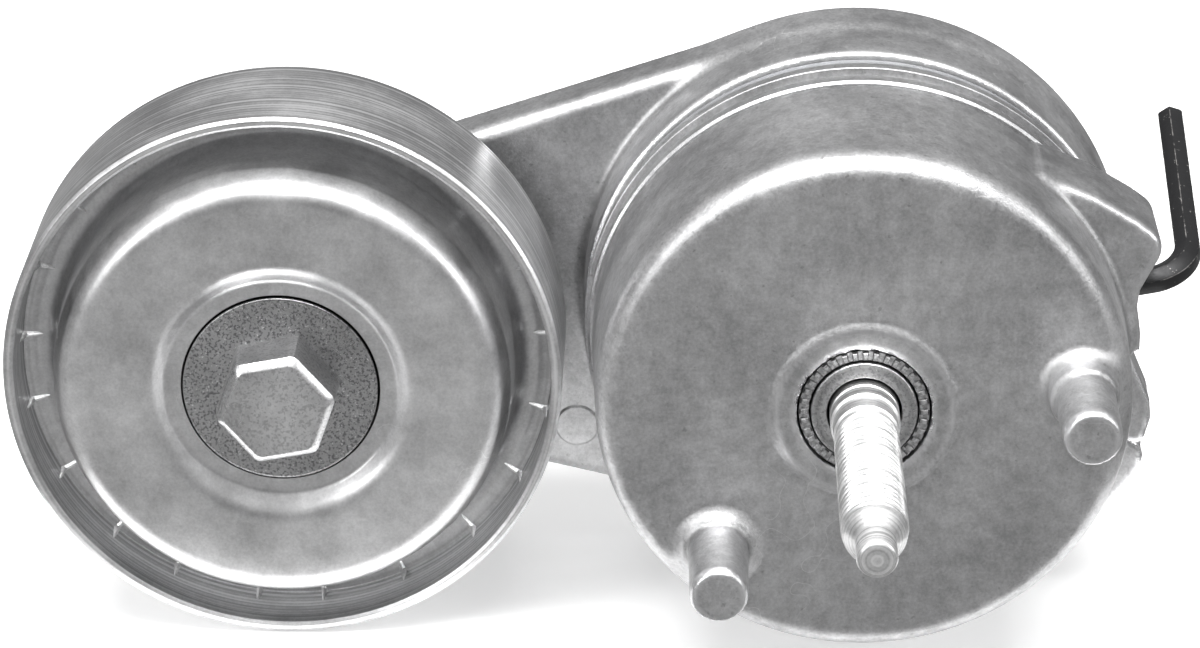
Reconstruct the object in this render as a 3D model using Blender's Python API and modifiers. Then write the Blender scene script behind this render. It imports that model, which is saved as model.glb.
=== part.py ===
"""Automatic belt tensioner: a die-cast base that bolts to an engine, a sprung arm that swings on it, and a
smooth pulley on a ball bearing at the arm's end.

The arm's pivot is the Y axis. The base's mounting face lies in the plane Y = 0 and faces -Y, +Z is up and +X
points from the pulley towards the pivot. Sizes below are in millimetres and MM turns them into metres.
A turned profile is a list of (radius, distance along Y).
"""

import math

import bmesh
import bpy

MM = 0.001
COLLECTION = "belt_tensioner_idler"
CLEAR = 0.3  # gap kept between touching pieces
STEPS = 40  # sides of a large turned piece
FINE_STEPS = 24  # sides of a small turned piece

# Stations along the pivot axis, from the mounting face to the back
BASE_FLOOR = 7.0
BASE_RIM = 36.0
SEAM_BACK = 40.0
ARM_FRONT = SEAM_BACK + CLEAR
PLATE_FRONT = 51.0
ARM_FLOOR = 55.5
ARM_BACK = 61.0
RETAINER_FRONT = ARM_BACK + 0.5
RETAINER_BACK = RETAINER_FRONT + 2.0

# Base housing
FACE_RADIUS = 36.6
EDGE_RADIUS = 40.7
WALL_RADIUS = 42.0
RIM_RADIUS = 43.2
CAVITY_RADIUS = 36.5
POST_RADIUS = 13.0

# Sleeve that the arm turns on, and the M10 mounting bolt through it
SLEEVE_BORE = 5.7
SLEEVE_RADIUS = 8.1
COLLAR_RADIUS = 9.9
BUSHING_RADIUS = 11.0
BOLT_RADIUS = 4.95
BOLT_TIP = -52.0
BOLT_FLANGE_RADIUS = 11.0
HEX_ACROSS_FLATS = 17.0

# Arm
HUB_RADIUS = 43.5
PLATE_RADIUS = 44.1
ARM_CAVITY_RADIUS = 37.0
ARM_TUBE_RADIUS = 15.5
BOSS_RADIUS = 19.0
SPIGOT_RADIUS = 8.2
BOLT_HOLE_RADIUS = 5.3

# Pulley and its 17 x 40 x 12 mm ball bearing
PULLEY_X, PULLEY_Z = -90.0, -4.0
PULLEY_RADIUS = 43.7
PULLEY_FRONT = 18.5
PULLEY_BACK = 42.8
RIM_WALL = 1.7
WEB_FRONT = 13.5
WEB_WALL = 1.8
BEARING_FRONT = 19.5
BEARING_BACK = 31.5
BEARING_BORE = 8.5
BEARING_RADIUS = 20.0
INNER_RACE_RADIUS = 12.3
OUTER_RACE_RADIUS = 16.2
PITCH_RADIUS = 14.25
BALL_RADIUS = 3.3
BALL_COUNT = 8
SHIELD_RADIUS = 15.2
HEAD_HEIGHT = 10.5

# Torsion spring, and the dry-friction damper band between it and the base wall
SPRING_RADIUS = 28.0
SPRING_WIRE_RADIUS = 3.25
SPRING_TURNS = 4.25
SPRING_POINTS_PER_TURN = 16

# Locating pins cast on the mounting face: X, Z, length, root radius, step length
LOCATING_PINS = ((-21.8, -23.0, 17.5, 7.3, 1.6), (32.8, 4.2, 19.5, 7.0, 5.5))
PIN_RADIUS = 4.4
PIN_END_RADIUS = 3.9

# Lock pin: a bent hexagon key, 4 mm across flats
KEY_CORNER_RADIUS = 4.0 / math.sqrt(3)
KEY_Y = 32.6
KEY_ANGLE = math.radians(10.5)
KEY_TIP = 38.8
KEY_BEND_START = 46.8
KEY_BEND_RADIUS = 6.3
KEY_LONG_LEG = 34.0
KEY_RISE = math.radians(18.0)

CAST = ((0.62, 0.63, 0.65), 0.45, 0.9)
STEEL = ((0.66, 0.66, 0.68), 0.3, 1.0)
ZINC = ((0.78, 0.79, 0.8), 0.3, 1.0)
SPRING_STEEL = ((0.2, 0.2, 0.22), 0.4, 1.0)
BLACK = ((0.02, 0.02, 0.022), 0.4, 0.5)
NYLON = ((0.12, 0.12, 0.12), 0.6, 0.0)
SEAM = ((0.32, 0.33, 0.35), 0.6, 0.3)
RUBBER = ((0.03, 0.03, 0.03), 0.7, 0.0)


def clear_scene():
    for obj in list(bpy.data.objects):
        bpy.data.objects.remove(obj)


def collection(name):
    made = bpy.data.collections.new(name)
    bpy.context.scene.collection.children.link(made)
    return made


def finish_of(name, finish):
    """A Principled material from (base colour, roughness, metallic)."""
    colour, roughness, metallic = finish
    made = bpy.data.materials.new(name)
    made.use_nodes = True
    shader = made.node_tree.nodes["Principled BSDF"]
    shader.inputs["Base Color"].default_value = (*colour, 1.0)
    shader.inputs["Roughness"].default_value = roughness
    shader.inputs["Metallic"].default_value = metallic
    return made


def new_object(name, data, finish=None, parent=None):
    """Adds an object; with no finish it is a helper that only cuts or joins."""
    made = bpy.data.objects.new(name, data)
    if finish is None:
        HELPERS.objects.link(made)
        made.hide_render = True
        made.display_type = "WIRE"
    else:
        PARTS.objects.link(made)
        data.materials.append(finish_of(name, finish))
    made.parent = parent
    return made


def outer_side_first(profile):
    """The profile ordered so that its outer side runs from the back towards the front."""
    area = sum(a[0] * b[1] - b[0] * a[1] for a, b in zip(profile, profile[1:] + profile[:1]))
    return profile if area < 0 else profile[::-1]


def turned(name, profile, finish=None, parent=None, centre=(0.0, 0.0), steps=STEPS):
    """A profile of (radius, y) turned round the line through centre = (x, z), parallel to Y."""
    points = outer_side_first(list(profile))
    solid = points[0][0] == 0 or points[-1][0] == 0
    while solid and not (points[0][0] == 0 and points[-1][0] == 0):
        points = points[1:] + points[:1]
    mesh = bpy.data.meshes.new(name)
    edges = [(i, i + 1) for i in range(len(points) - 1)]
    if not solid:
        edges.append((len(points) - 1, 0))
    mesh.from_pydata([(r * MM, 0, y * MM) for r, y in points], edges, [])
    made = new_object(name, mesh, finish, parent)
    made.location = (centre[0] * MM, 0, centre[1] * MM)
    made.rotation_euler.x = -math.pi / 2
    screw = made.modifiers.new("Turn", "SCREW")
    screw.axis = "Z"
    screw.steps = screw.render_steps = steps
    screw.use_merge_vertices = True
    screw.merge_threshold = 1e-6
    screw.use_smooth_shade = True
    return made


def prism(name, outline, front, back, finish=None, parent=None):
    """A flat outline of (x, z) points that runs along Y from front to back."""
    curve = bpy.data.curves.new(name, "CURVE")
    curve.dimensions = "2D"
    curve.fill_mode = "BOTH"
    curve.extrude = (back - front) / 2 * MM
    spline = curve.splines.new("POLY")
    spline.points.add(len(outline) - 1)
    for point, (x, z) in zip(spline.points, outline):
        point.co = (x * MM, z * MM, 0, 1)
    spline.use_cyclic_u = True
    made = new_object(name, curve)
    made.location.y = (front + back) / 2 * MM
    made.rotation_euler.x = math.pi / 2
    return as_mesh(made, finish, parent)


def as_mesh(curve_object, finish=None, parent=None):
    """Replaces a curve object by its welded mesh."""
    bpy.context.view_layer.update()
    graph = bpy.context.evaluated_depsgraph_get()
    mesh = bpy.data.meshes.new_from_object(curve_object.evaluated_get(graph))
    name, place = curve_object.name, curve_object.matrix_world.copy()
    bpy.data.objects.remove(curve_object)
    work = bmesh.new()
    work.from_mesh(mesh)
    bmesh.ops.remove_doubles(work, verts=work.verts, dist=1e-6)
    bmesh.ops.recalc_face_normals(work, faces=work.faces)
    work.to_mesh(mesh)
    work.free()
    mesh.materials.clear()
    made = new_object(name, mesh, finish, parent)
    made.matrix_world = place
    return made


def tube(name, points, radius, finish, resolution=2):
    """A bar along points in millimetres, with 4 + 2 * resolution sides."""
    curve = bpy.data.curves.new(name, "CURVE")
    curve.dimensions = "3D"
    curve.bevel_depth = radius * MM
    curve.bevel_resolution = resolution
    curve.use_fill_caps = True
    spline = curve.splines.new("POLY")
    spline.points.add(len(points) - 1)
    for point, place in zip(spline.points, points):
        point.co = (*(value * MM for value in place), 1)
    return new_object(name, curve, finish)


def combine(target, operation, others):
    for other in others:
        boolean = target.modifiers.new(other.name, "BOOLEAN")
        boolean.operation = operation
        boolean.object = other
    return target


def arc(radius, start, end, count, centre=(0.0, 0.0)):
    """Points of an arc, angles in degrees from +X towards +Z."""
    angles = [math.radians(start + (end - start) * i / (count - 1)) for i in range(count)]
    return [(centre[0] + radius * math.cos(a), centre[1] + radius * math.sin(a)) for a in angles]


def hexagon(across_flats, turn, centre=(0.0, 0.0)):
    return arc(across_flats / math.sqrt(3), turn, turn + 300, 6, centre)


def hex_head(name, near, far, turn, centre=(0.0, 0.0)):
    """A hexagon head from its flange side, near, to its free end, far, where a cone takes off its corners."""
    head = prism(name, hexagon(HEX_ACROSS_FLATS, turn, centre), min(near, far), max(near, far))
    sign = math.copysign(1, far - near)
    inner = HEX_ACROSS_FLATS / 2 - 0.3
    reach = HEX_ACROSS_FLATS / math.sqrt(3) + 2
    drop = (reach - inner) * math.tan(math.radians(30))
    cone = turned(name + "_chamfer", [(0, near - sign), (reach, near - sign), (reach, far - sign * drop),
                                      (inner, far + sign * 0.01), (0, far + sign * 0.01)],
                  centre=centre, steps=FINE_STEPS)
    return combine(head, "INTERSECT", [cone])


def pivot(name, x, z):
    empty = bpy.data.objects.new(name, None)
    empty.location = (x * MM, 0, z * MM)
    PARTS.objects.link(empty)
    bpy.context.view_layer.update()
    return empty


def locating_pin(index, x, z, length, root, step):
    """A cast dowel with a flared root, a step and a chamfered end."""
    profile = [(0, 2), (root, 2), (root, 0), (root - 1.3, -0.7), (PIN_RADIUS + 0.9, -1.8),
               (PIN_RADIUS + 0.8, -step), (PIN_RADIUS, -step - 1), (PIN_RADIUS - 0.1, 1 - length),
               (PIN_END_RADIUS, -length), (0, -length)]
    return turned(f"locating_pin_{index}", profile, centre=(x, z), steps=FINE_STEPS)


def base_ears():
    """The lock-pin ear with its flange, and the stop ear that the arm's lug comes to rest on."""
    pin_ear = arc(39.0, 3.5, 50, 8) + [(26.9, 32.6), (35.6, 28.9), (42.0, 25.1)]
    pin_ear += arc(4.2, 50, -35, 6, (41.7, 20.1)) + [(42.9, 13.2), (42.6, 10.5), (43.3, 6.0), (43.3, 3.0)]
    flange = arc(39.0, 3.5, 40, 6) + arc(43.6, 40, 3.5, 8)
    stop = [(45.0, -6.8), (46.6, -10.5), (46.9, -13.6), (46.0, -17.2), (44.9, -18.3)]
    stop_root = arc(40.0, -24, -3, 5) + [(43.3, -3.0)] + stop
    stop_rear = arc(42.75, -23.5, -4, 5) + [(43.6, -3.4)] + stop
    return [prism("pin_ear", pin_ear, 15.5, 31.0), prism("pin_flange", flange, 30.5, 35.9),
            prism("stop_ear_root", stop_root, 28.5, 35.95), prism("stop_ear_rear", stop_rear, 35.5, 38.2)]


def base_housing(finish):
    edge = [(FACE_RADIUS + 4.1 * math.sin(math.radians(a)), 4.1 - 4.1 * math.cos(math.radians(a)))
            for a in (0, 22.5, 45, 67.5, 90)]
    bore = SLEEVE_RADIUS + CLEAR
    recess = COLLAR_RADIUS + CLEAR
    profile = [(recess, -0.4), (POST_RADIUS - 1, -0.4), (POST_RADIUS + 1.5, 0)] + edge
    profile += [(WALL_RADIUS, 29.0), (WALL_RADIUS + 0.6, 29.3), (WALL_RADIUS + 0.6, 31.8),
                (WALL_RADIUS - 0.1, 32.3), (WALL_RADIUS - 0.1, 33.2), (RIM_RADIUS, 33.6), (RIM_RADIUS, BASE_RIM)]
    profile += [(CAVITY_RADIUS + 1, BASE_RIM), (CAVITY_RADIUS, BASE_FLOOR + 1), (CAVITY_RADIUS - 1, BASE_FLOOR),
                (POST_RADIUS + 1, BASE_FLOOR), (POST_RADIUS, BASE_FLOOR + 1), (POST_RADIUS, 38.2),
                (bore, 38.2), (bore, 4.1), (recess, 4.1)]
    housing = turned("base_housing", profile, finish)
    pins = [locating_pin(i, *sizes) for i, sizes in enumerate(LOCATING_PINS)]
    combine(housing, "UNION", base_ears() + pins)
    return combine(housing, "DIFFERENCE", [key_hole()])


def cutting_cylinder(name, radius, depth, place, angle, sides, parent=None):
    """A cylinder at place (x, y, z) whose axis points away from Y at an angle from +X towards +Z."""
    mesh = bpy.data.meshes.new(name)
    work = bmesh.new()
    bmesh.ops.create_cone(work, cap_ends=True, segments=sides, radius1=radius * MM, radius2=radius * MM,
                          depth=depth * MM)
    work.to_mesh(mesh)
    work.free()
    cutter = new_object(name, mesh, parent=parent)
    cutter.location = [value * MM for value in place]
    cutter.rotation_euler = (0, math.pi / 2 - angle, 0)
    return cutter


def key_hole():
    """A radial hole through the base wall for the lock pin."""
    middle = (41 * math.cos(KEY_ANGLE), KEY_Y, 41 * math.sin(KEY_ANGLE))
    return cutting_cylinder("key_hole", KEY_CORNER_RADIUS + CLEAR, 20, middle, KEY_ANGLE, 16)


def base_group():
    base_housing(CAST)
    turned("pivot_sleeve", [(SLEEVE_BORE, -0.8), (SLEEVE_RADIUS, -0.8), (SLEEVE_RADIUS, RETAINER_BACK + 0.1),
                            (SLEEVE_BORE, RETAINER_BACK + 0.1)], STEEL, steps=FINE_STEPS)
    turned("knurled_collar", [(SLEEVE_RADIUS + CLEAR, -0.6), (COLLAR_RADIUS - 0.4, -0.6), (COLLAR_RADIUS, -0.2),
                              (COLLAR_RADIUS, 3.8), (SLEEVE_RADIUS + CLEAR, 3.8)], STEEL, steps=FINE_STEPS)
    turned("retaining_plate", [(SLEEVE_RADIUS + CLEAR, RETAINER_FRONT), (20, RETAINER_FRONT),
                               (20, RETAINER_BACK - 0.5), (19.5, RETAINER_BACK),
                               (SLEEVE_RADIUS + CLEAR, RETAINER_BACK)], STEEL, steps=FINE_STEPS)
    turned("seam_ring", [(38.6, BASE_RIM + CLEAR), (42.3, BASE_RIM + CLEAR), (42.3, SEAM_BACK),
                         (38.6, SEAM_BACK)], SEAM)
    turned("thrust_washer", [(SLEEVE_RADIUS + CLEAR, 38.5), (15, 38.5), (15, SEAM_BACK),
                             (SLEEVE_RADIUS + CLEAR, SEAM_BACK)], NYLON, steps=FINE_STEPS)
    turned("spring_seat_front", [(23, 7.3), (33, 7.3), (33, 9.3), (23, 9.3)], NYLON, steps=FINE_STEPS)
    turned("damper_band", [(33.2, 14), (35.9, 14), (35.9, 34), (33.2, 34)], NYLON, steps=FINE_STEPS)
    torsion_spring()


def torsion_spring():
    front = 9.3 + CLEAR + SPRING_WIRE_RADIUS
    back = ARM_FLOOR - 2.3 - CLEAR - SPRING_WIRE_RADIUS
    count = int(SPRING_TURNS * SPRING_POINTS_PER_TURN) + 1
    points = []
    for i in range(count):
        share = i / (count - 1)
        angle = share * SPRING_TURNS * math.tau
        points.append((SPRING_RADIUS * math.cos(angle), front + (back - front) * share,
                       SPRING_RADIUS * math.sin(angle)))
    tube("torsion_spring", points, SPRING_WIRE_RADIUS, SPRING_STEEL)


def mounting_bolt():
    flange_front = RETAINER_BACK + 0.4
    head_front = flange_front + 2.2
    profile = [(0, BOLT_TIP), (2.4, BOLT_TIP), (3.0, BOLT_TIP + 0.6), (3.0, -46.2), (BOLT_RADIUS, -43.6),
               (BOLT_RADIUS, -6.0), (5.3, -5.5), (5.3, 8), (BOLT_RADIUS, 8.5), (BOLT_RADIUS, flange_front),
               (BOLT_FLANGE_RADIUS, flange_front), (BOLT_FLANGE_RADIUS, flange_front + 1),
               (8.5, head_front + 0.2), (0, head_front + 0.2)]
    bolt = turned("mounting_bolt", profile, ZINC, steps=FINE_STEPS)
    head = hex_head("mounting_bolt_head", head_front - 0.2, head_front + 9, 10)
    return combine(bolt, "UNION", [head])


def lock_pin():
    """The key's short leg points at the pivot; its long leg runs back and rises."""
    out = (math.cos(KEY_ANGLE), 0.0, math.sin(KEY_ANGLE))
    along = (0.0, math.cos(KEY_RISE), math.sin(KEY_RISE))
    start = [KEY_TIP * c + (0, KEY_Y, 0)[i] for i, c in enumerate(out)]
    bend = [KEY_BEND_START * c + (0, KEY_Y, 0)[i] for i, c in enumerate(out)]
    points = [start]
    for i in range(7):
        a = math.radians(15 * i)
        points.append([bend[k] + KEY_BEND_RADIUS * (math.sin(a) * out[k] + (1 - math.cos(a)) * along[k])
                       for k in range(3)])
    points.append([points[-1][k] + KEY_LONG_LEG * along[k] for k in range(3)])
    tube("lock_pin", points, KEY_CORNER_RADIUS, BLACK, resolution=1)


def arm_plate():
    """Straight sides tangent to the hub and to the pulley boss; its inner edge stays in the hub wall."""
    distance = math.hypot(PULLEY_X, PULLEY_Z)
    direction = math.degrees(math.atan2(PULLEY_Z, PULLEY_X)) % 360
    half = math.degrees(math.acos((PLATE_RADIUS - BOSS_RADIUS) / distance))
    outline = arc(PLATE_RADIUS, direction - half - 8, direction - half, 3)
    outline += arc(BOSS_RADIUS, direction - half, direction + half, 14, (PULLEY_X, PULLEY_Z))
    outline += arc(PLATE_RADIUS, direction + half, direction + half + 8, 3)
    outline += arc(40.5, direction + half + 8, direction - half - 8, 12)
    return prism("arm_plate", outline, PLATE_FRONT, ARM_BACK - 0.02)


def stop_lugs():
    """The lug that meets the base's stop ear: a wide foot on the hub and a tooth that reaches past the seam."""
    face = [(44.3, -20.2), (46.4, -21.6), (47.0, -24.0), (45.6, -27.4), (37.6, -39.6), (34.4, -41.2)]
    foot = arc(40.5, -56, -25.5, 6) + face
    tooth = arc(43.9, -46, -25.5, 5) + [(44.3, -20.2), (46.4, -21.6), (47.0, -24.0), (45.6, -27.4), (36.5, -39.0)]
    return [prism("stop_lug_foot", foot, 41.3, ARM_BACK - 0.5), prism("stop_lug_tooth", tooth, 36.3, 42.0)]


def arm_pocket():
    """A lightening pocket in the back of the plate, between two side ribs."""
    outline = [(-48.5, 12.5), (-66.5, 8.5), (-66.5, -14.0), (-48.5, -19.0)]
    return prism("arm_pocket", outline, ARM_BACK - 5.5, ARM_BACK + 1)


def tensioner_arm(parent):
    centre = (PULLEY_X, PULLEY_Z)
    bore = BUSHING_RADIUS + CLEAR
    hub = [(ARM_CAVITY_RADIUS + 0.8, ARM_FRONT), (HUB_RADIUS - 0.9, ARM_FRONT), (HUB_RADIUS, ARM_FRONT + 0.9),
           (HUB_RADIUS + 0.3, PLATE_FRONT), (PLATE_RADIUS, ARM_BACK - 1.2), (PLATE_RADIUS - 1, ARM_BACK),
           (bore, ARM_BACK), (bore, ARM_FRONT), (ARM_TUBE_RADIUS, ARM_FRONT), (ARM_TUBE_RADIUS, ARM_FLOOR),
           (ARM_CAVITY_RADIUS, ARM_FLOOR)]
    arm = turned("tensioner_arm", hub, CAST, parent)
    boss = turned("pulley_boss", [(0, 60.5), (BOSS_RADIUS - 2, 60.5), (BOSS_RADIUS - 3, 50), (13.4, 47),
                                  (12.6, 33.0), (11.6, BEARING_BACK + CLEAR), (SPIGOT_RADIUS, BEARING_BACK + CLEAR),
                                  (SPIGOT_RADIUS, 20.6), (SPIGOT_RADIUS - 0.6, 20.0), (0, 20.0)], centre=centre)
    combine(arm, "UNION", [arm_plate(), boss] + stop_lugs())
    hole = turned("bolt_hole", [(0, 19), (BOLT_HOLE_RADIUS, 19), (BOLT_HOLE_RADIUS, 50), (0, 53)], centre=centre,
                  steps=FINE_STEPS)
    combine(arm, "DIFFERENCE", [arm_pocket(), hole])
    turned("hub_bushing", [(SLEEVE_RADIUS + CLEAR, ARM_FRONT + 0.3), (BUSHING_RADIUS, ARM_FRONT + 0.3),
                           (BUSHING_RADIUS, ARM_BACK - 0.3), (SLEEVE_RADIUS + CLEAR, ARM_BACK - 0.3)],
           NYLON, parent, steps=FINE_STEPS)
    turned("spring_seat_rear", [(23, ARM_FLOOR - 2.3), (33, ARM_FLOOR - 2.3), (33, ARM_FLOOR - CLEAR),
                                (23, ARM_FLOOR - CLEAR)], NYLON, parent, steps=FINE_STEPS)


def at_pulley(name, profile, finish, parent, steps=STEPS):
    """A turned piece on the pulley's axis, placed under an empty that stands on that axis."""
    return turned(name, profile, finish, parent, steps=steps)


def arm_end_group(parent):
    """What is clamped to the arm's end by the pulley bolt and doesn't turn with the pulley."""
    shield_back = BEARING_FRONT - CLEAR
    at_pulley("front_dust_shield", [(BOLT_HOLE_RADIUS, 17.4), (9.5, 17.4), (12.0, 16.9), (SHIELD_RADIUS, 15.5),
                                    (SHIELD_RADIUS, 16.3), (12.2, 18.0), (11.6, shield_back),
                                    (BOLT_HOLE_RADIUS, shield_back)], ZINC, parent, FINE_STEPS)
    at_pulley("rear_dust_shield", [(13.8, 32.2), (18.6, 32.2), (19.2, 32.8), (19.2, 33.4), (13.8, 33.4)],
              ZINC, parent, FINE_STEPS)
    under_head = 17.4 - CLEAR
    bolt = at_pulley("pulley_bolt", [(0, under_head - 1), (7.3, under_head - 1), (7.3, under_head),
                                     (BOLT_RADIUS, under_head), (BOLT_RADIUS, 45), (BOLT_RADIUS - 1, 46.5),
                                     (0, 46.5)], ZINC, parent, steps=FINE_STEPS)
    head = hex_head("pulley_bolt_head", under_head - 0.5, under_head - HEAD_HEIGHT, 10.8, (PULLEY_X, PULLEY_Z))
    combine(bolt, "UNION", [head])


def race_groove(side, count=5):
    """Points of the ball groove, seen from the ball's centre: side is -1 on the inner ring, 1 on the outer."""
    middle = (BEARING_FRONT + BEARING_BACK) / 2
    radius = BALL_RADIUS + CLEAR
    reach = INNER_RACE_RADIUS if side < 0 else OUTER_RACE_RADIUS
    half = math.acos(abs(reach - PITCH_RADIUS) / radius)
    angles = [-half + 2 * half * i / (count - 1) for i in range(count)]
    return [(PITCH_RADIUS + side * radius * math.cos(a), middle + radius * math.sin(a)) for a in angles]


def bearing(arm_end, pulley, cage):
    inner = [(BEARING_BORE, BEARING_FRONT), (INNER_RACE_RADIUS, BEARING_FRONT)] + race_groove(-1)
    inner += [(INNER_RACE_RADIUS, BEARING_BACK), (BEARING_BORE, BEARING_BACK)]
    at_pulley("bearing_inner_ring", inner, STEEL, arm_end, FINE_STEPS)
    outer = [(BEARING_RADIUS, BEARING_BACK), (OUTER_RACE_RADIUS, BEARING_BACK)] + race_groove(1)[::-1]
    outer += [(OUTER_RACE_RADIUS, BEARING_FRONT), (BEARING_RADIUS, BEARING_FRONT)]
    at_pulley("bearing_outer_ring", outer, STEEL, pulley, FINE_STEPS)
    seal_inner, seal_outer = INNER_RACE_RADIUS + CLEAR, OUTER_RACE_RADIUS - CLEAR
    for name, front in (("bearing_seal_front", BEARING_FRONT + 0.3), ("bearing_seal_rear", BEARING_BACK - 1.2)):
        at_pulley(name, [(seal_inner, front), (seal_outer, front), (seal_outer, front + 0.9),
                         (seal_inner, front + 0.9)], RUBBER, pulley, FINE_STEPS)
    bearing_cage(cage)


def bearing_cage(parent):
    middle = (BEARING_FRONT + BEARING_BACK) / 2
    cage = at_pulley("bearing_cage", [(13.3, middle - 4.3), (15.2, middle - 4.3), (15.2, middle + 4.3),
                                      (13.3, middle + 4.3)], NYLON, parent, FINE_STEPS)
    ball_mesh = bpy.data.meshes.new("bearing_ball")
    work = bmesh.new()
    bmesh.ops.create_uvsphere(work, u_segments=10, v_segments=7, radius=BALL_RADIUS * MM)
    work.to_mesh(ball_mesh)
    work.free()
    ball_mesh.materials.append(finish_of("bearing_ball", STEEL))
    for i in range(BALL_COUNT):
        angle = math.tau * (i + 0.5) / BALL_COUNT
        place = (PITCH_RADIUS * math.cos(angle), middle, PITCH_RADIUS * math.sin(angle))
        ball = bpy.data.objects.new(f"bearing_ball_{i + 1}", ball_mesh)
        PARTS.objects.link(ball)
        ball.parent = parent
        ball.location = [value * MM for value in place]
        window = cutting_cylinder(f"cage_window_{i + 1}", BALL_RADIUS + CLEAR, 6, place, angle, 12, parent)
        combine(cage, "DIFFERENCE", [window])


def pulley_shell(parent):
    """One spun shell: flat belt rim, open channel, domed web and the sleeve that holds the bearing."""
    rim_inner = PULLEY_RADIUS - RIM_WALL
    sleeve_inner = BEARING_RADIUS + CLEAR
    web_back = WEB_FRONT + WEB_WALL
    front = [(rim_inner, PULLEY_FRONT), (rim_inner, 29.2), (41.4, 29.7), (38.2, 30.2), (36.9, 28.8),
             (35.9, 20.5), (35.0, 16.4), (33.4, 14.2), (31.2, WEB_FRONT), (21.4, WEB_FRONT), (19.3, 14.6),
             (17.6, 16.6), (16.0, 17.0), (15.6, 17.4), (15.6, BEARING_FRONT - CLEAR)]
    back = [(sleeve_inner, BEARING_FRONT - CLEAR), (sleeve_inner, 33.5), (sleeve_inner + 1.9, 33.5),
            (sleeve_inner + 1.9, 17.0), (23.4, web_back), (31.0, web_back), (33.0, 17.2), (34.1, 21.0),
            (35.0, 29.2), (37.3, 32.0), (rim_inner, 32.0), (rim_inner, PULLEY_BACK)]
    rim = [(PULLEY_RADIUS - 0.3, PULLEY_BACK), (PULLEY_RADIUS, PULLEY_BACK - 0.4),
           (PULLEY_RADIUS, PULLEY_FRONT + 0.6), (PULLEY_RADIUS - 0.5, PULLEY_FRONT)]
    at_pulley("pulley_shell", front + back + rim, STEEL, parent)


def main():
    base_group()
    mounting_bolt()
    lock_pin()
    arm_pivot = pivot("arm_pivot", 0, 0)
    tensioner_arm(arm_pivot)
    arm_end = pivot("pulley_axis_on_arm", PULLEY_X, PULLEY_Z)
    spin = pivot("pulley_axis", PULLEY_X, PULLEY_Z)
    cage = pivot("cage_axis", PULLEY_X, PULLEY_Z)
    arm_end_group(arm_end)
    bearing(arm_end, spin, cage)
    pulley_shell(spin)


clear_scene()
PARTS = collection(COLLECTION)
HELPERS = collection("cutters")
main()
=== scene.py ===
# %% [markdown]
# # A belt tensioner, made ready for its picture
#
# An engine's drive belt is kept tight by an arm with a pulley on its end. The arm swings on a die-cast base,
# and a torsion spring inside the base pushes it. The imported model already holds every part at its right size
# and place. This lesson makes the surfaces that a camera sees: castings with their fillets, turned and
# rolled steel, a real screw thread, and the metal finishes.

# %% Load the fixed model and look at its size
import math

import bmesh
import bpy
import numpy as np
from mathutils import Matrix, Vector


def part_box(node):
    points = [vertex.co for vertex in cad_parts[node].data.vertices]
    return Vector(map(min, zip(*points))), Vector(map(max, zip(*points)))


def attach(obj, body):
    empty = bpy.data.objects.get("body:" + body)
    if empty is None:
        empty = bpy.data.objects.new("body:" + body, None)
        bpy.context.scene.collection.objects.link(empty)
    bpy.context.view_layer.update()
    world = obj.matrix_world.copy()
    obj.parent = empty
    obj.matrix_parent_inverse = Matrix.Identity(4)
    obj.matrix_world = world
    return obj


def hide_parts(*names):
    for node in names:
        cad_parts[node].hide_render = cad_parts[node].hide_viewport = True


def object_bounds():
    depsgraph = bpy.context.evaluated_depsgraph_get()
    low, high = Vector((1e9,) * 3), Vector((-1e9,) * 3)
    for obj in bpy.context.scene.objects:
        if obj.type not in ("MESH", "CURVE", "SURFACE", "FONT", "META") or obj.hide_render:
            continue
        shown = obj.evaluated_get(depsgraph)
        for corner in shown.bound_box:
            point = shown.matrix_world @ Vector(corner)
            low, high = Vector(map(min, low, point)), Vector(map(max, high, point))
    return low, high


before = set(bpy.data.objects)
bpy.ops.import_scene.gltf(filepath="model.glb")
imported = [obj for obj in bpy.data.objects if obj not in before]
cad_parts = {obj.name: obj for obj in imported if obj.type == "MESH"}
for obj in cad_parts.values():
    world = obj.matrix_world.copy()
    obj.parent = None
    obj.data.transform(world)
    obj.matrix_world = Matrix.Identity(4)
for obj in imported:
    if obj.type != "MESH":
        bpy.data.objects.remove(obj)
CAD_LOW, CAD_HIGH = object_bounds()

MM = 0.001
print("the model's box in mm:", [round((b - a) / MM, 1) for a, b in zip(CAD_LOW, CAD_HIGH)])

# %% [markdown]
# Everything turns about one of two lines that run along Y: the arm's pivot, and the pulley's axis. Reading
# the pulley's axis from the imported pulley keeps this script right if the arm's length changes. Sizes in this
# script are in millimetres, and MM turns them into Blender's metres when a mesh is made.

# %% The two axes
PIVOT = (0.0, 0.0)
shell_low, shell_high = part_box("pulley_shell")
PULLEY = ((shell_low.x + shell_high.x) / 2 / MM, (shell_low.z + shell_high.z) / 2 / MM)
PULLEY_RADIUS = (shell_high.x - shell_low.x) / 2 / MM
print("pulley axis at x, z =", [round(v, 2) for v in PULLEY], "radius", round(PULLEY_RADIUS, 2))

# %% [markdown]
# ## Camera
# A long lens about 0.65 m away, a little above the part. Its height shows the tops of the round walls.

# %% Camera
def add_object(name, data):
    made = bpy.data.objects.new(name, data)
    bpy.context.scene.collection.objects.link(made)
    return made


def add_camera(place, pitch_down, turn, lens):
    data = bpy.data.cameras.new("camera")
    data.lens = lens
    data.sensor_width = 36.0
    data.clip_end = 20.0
    camera = add_object("camera", data)
    camera.location = [v * MM for v in place]
    camera.rotation_euler = (math.radians(90 - pitch_down), 0, math.radians(turn))
    bpy.context.scene.camera = camera
    return camera


camera = add_camera(place=(-27.5, -595.6, 263.1), pitch_down=22.7, turn=1.2, lens=129.0)
print("camera at", [round(v, 3) for v in camera.location])

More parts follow.
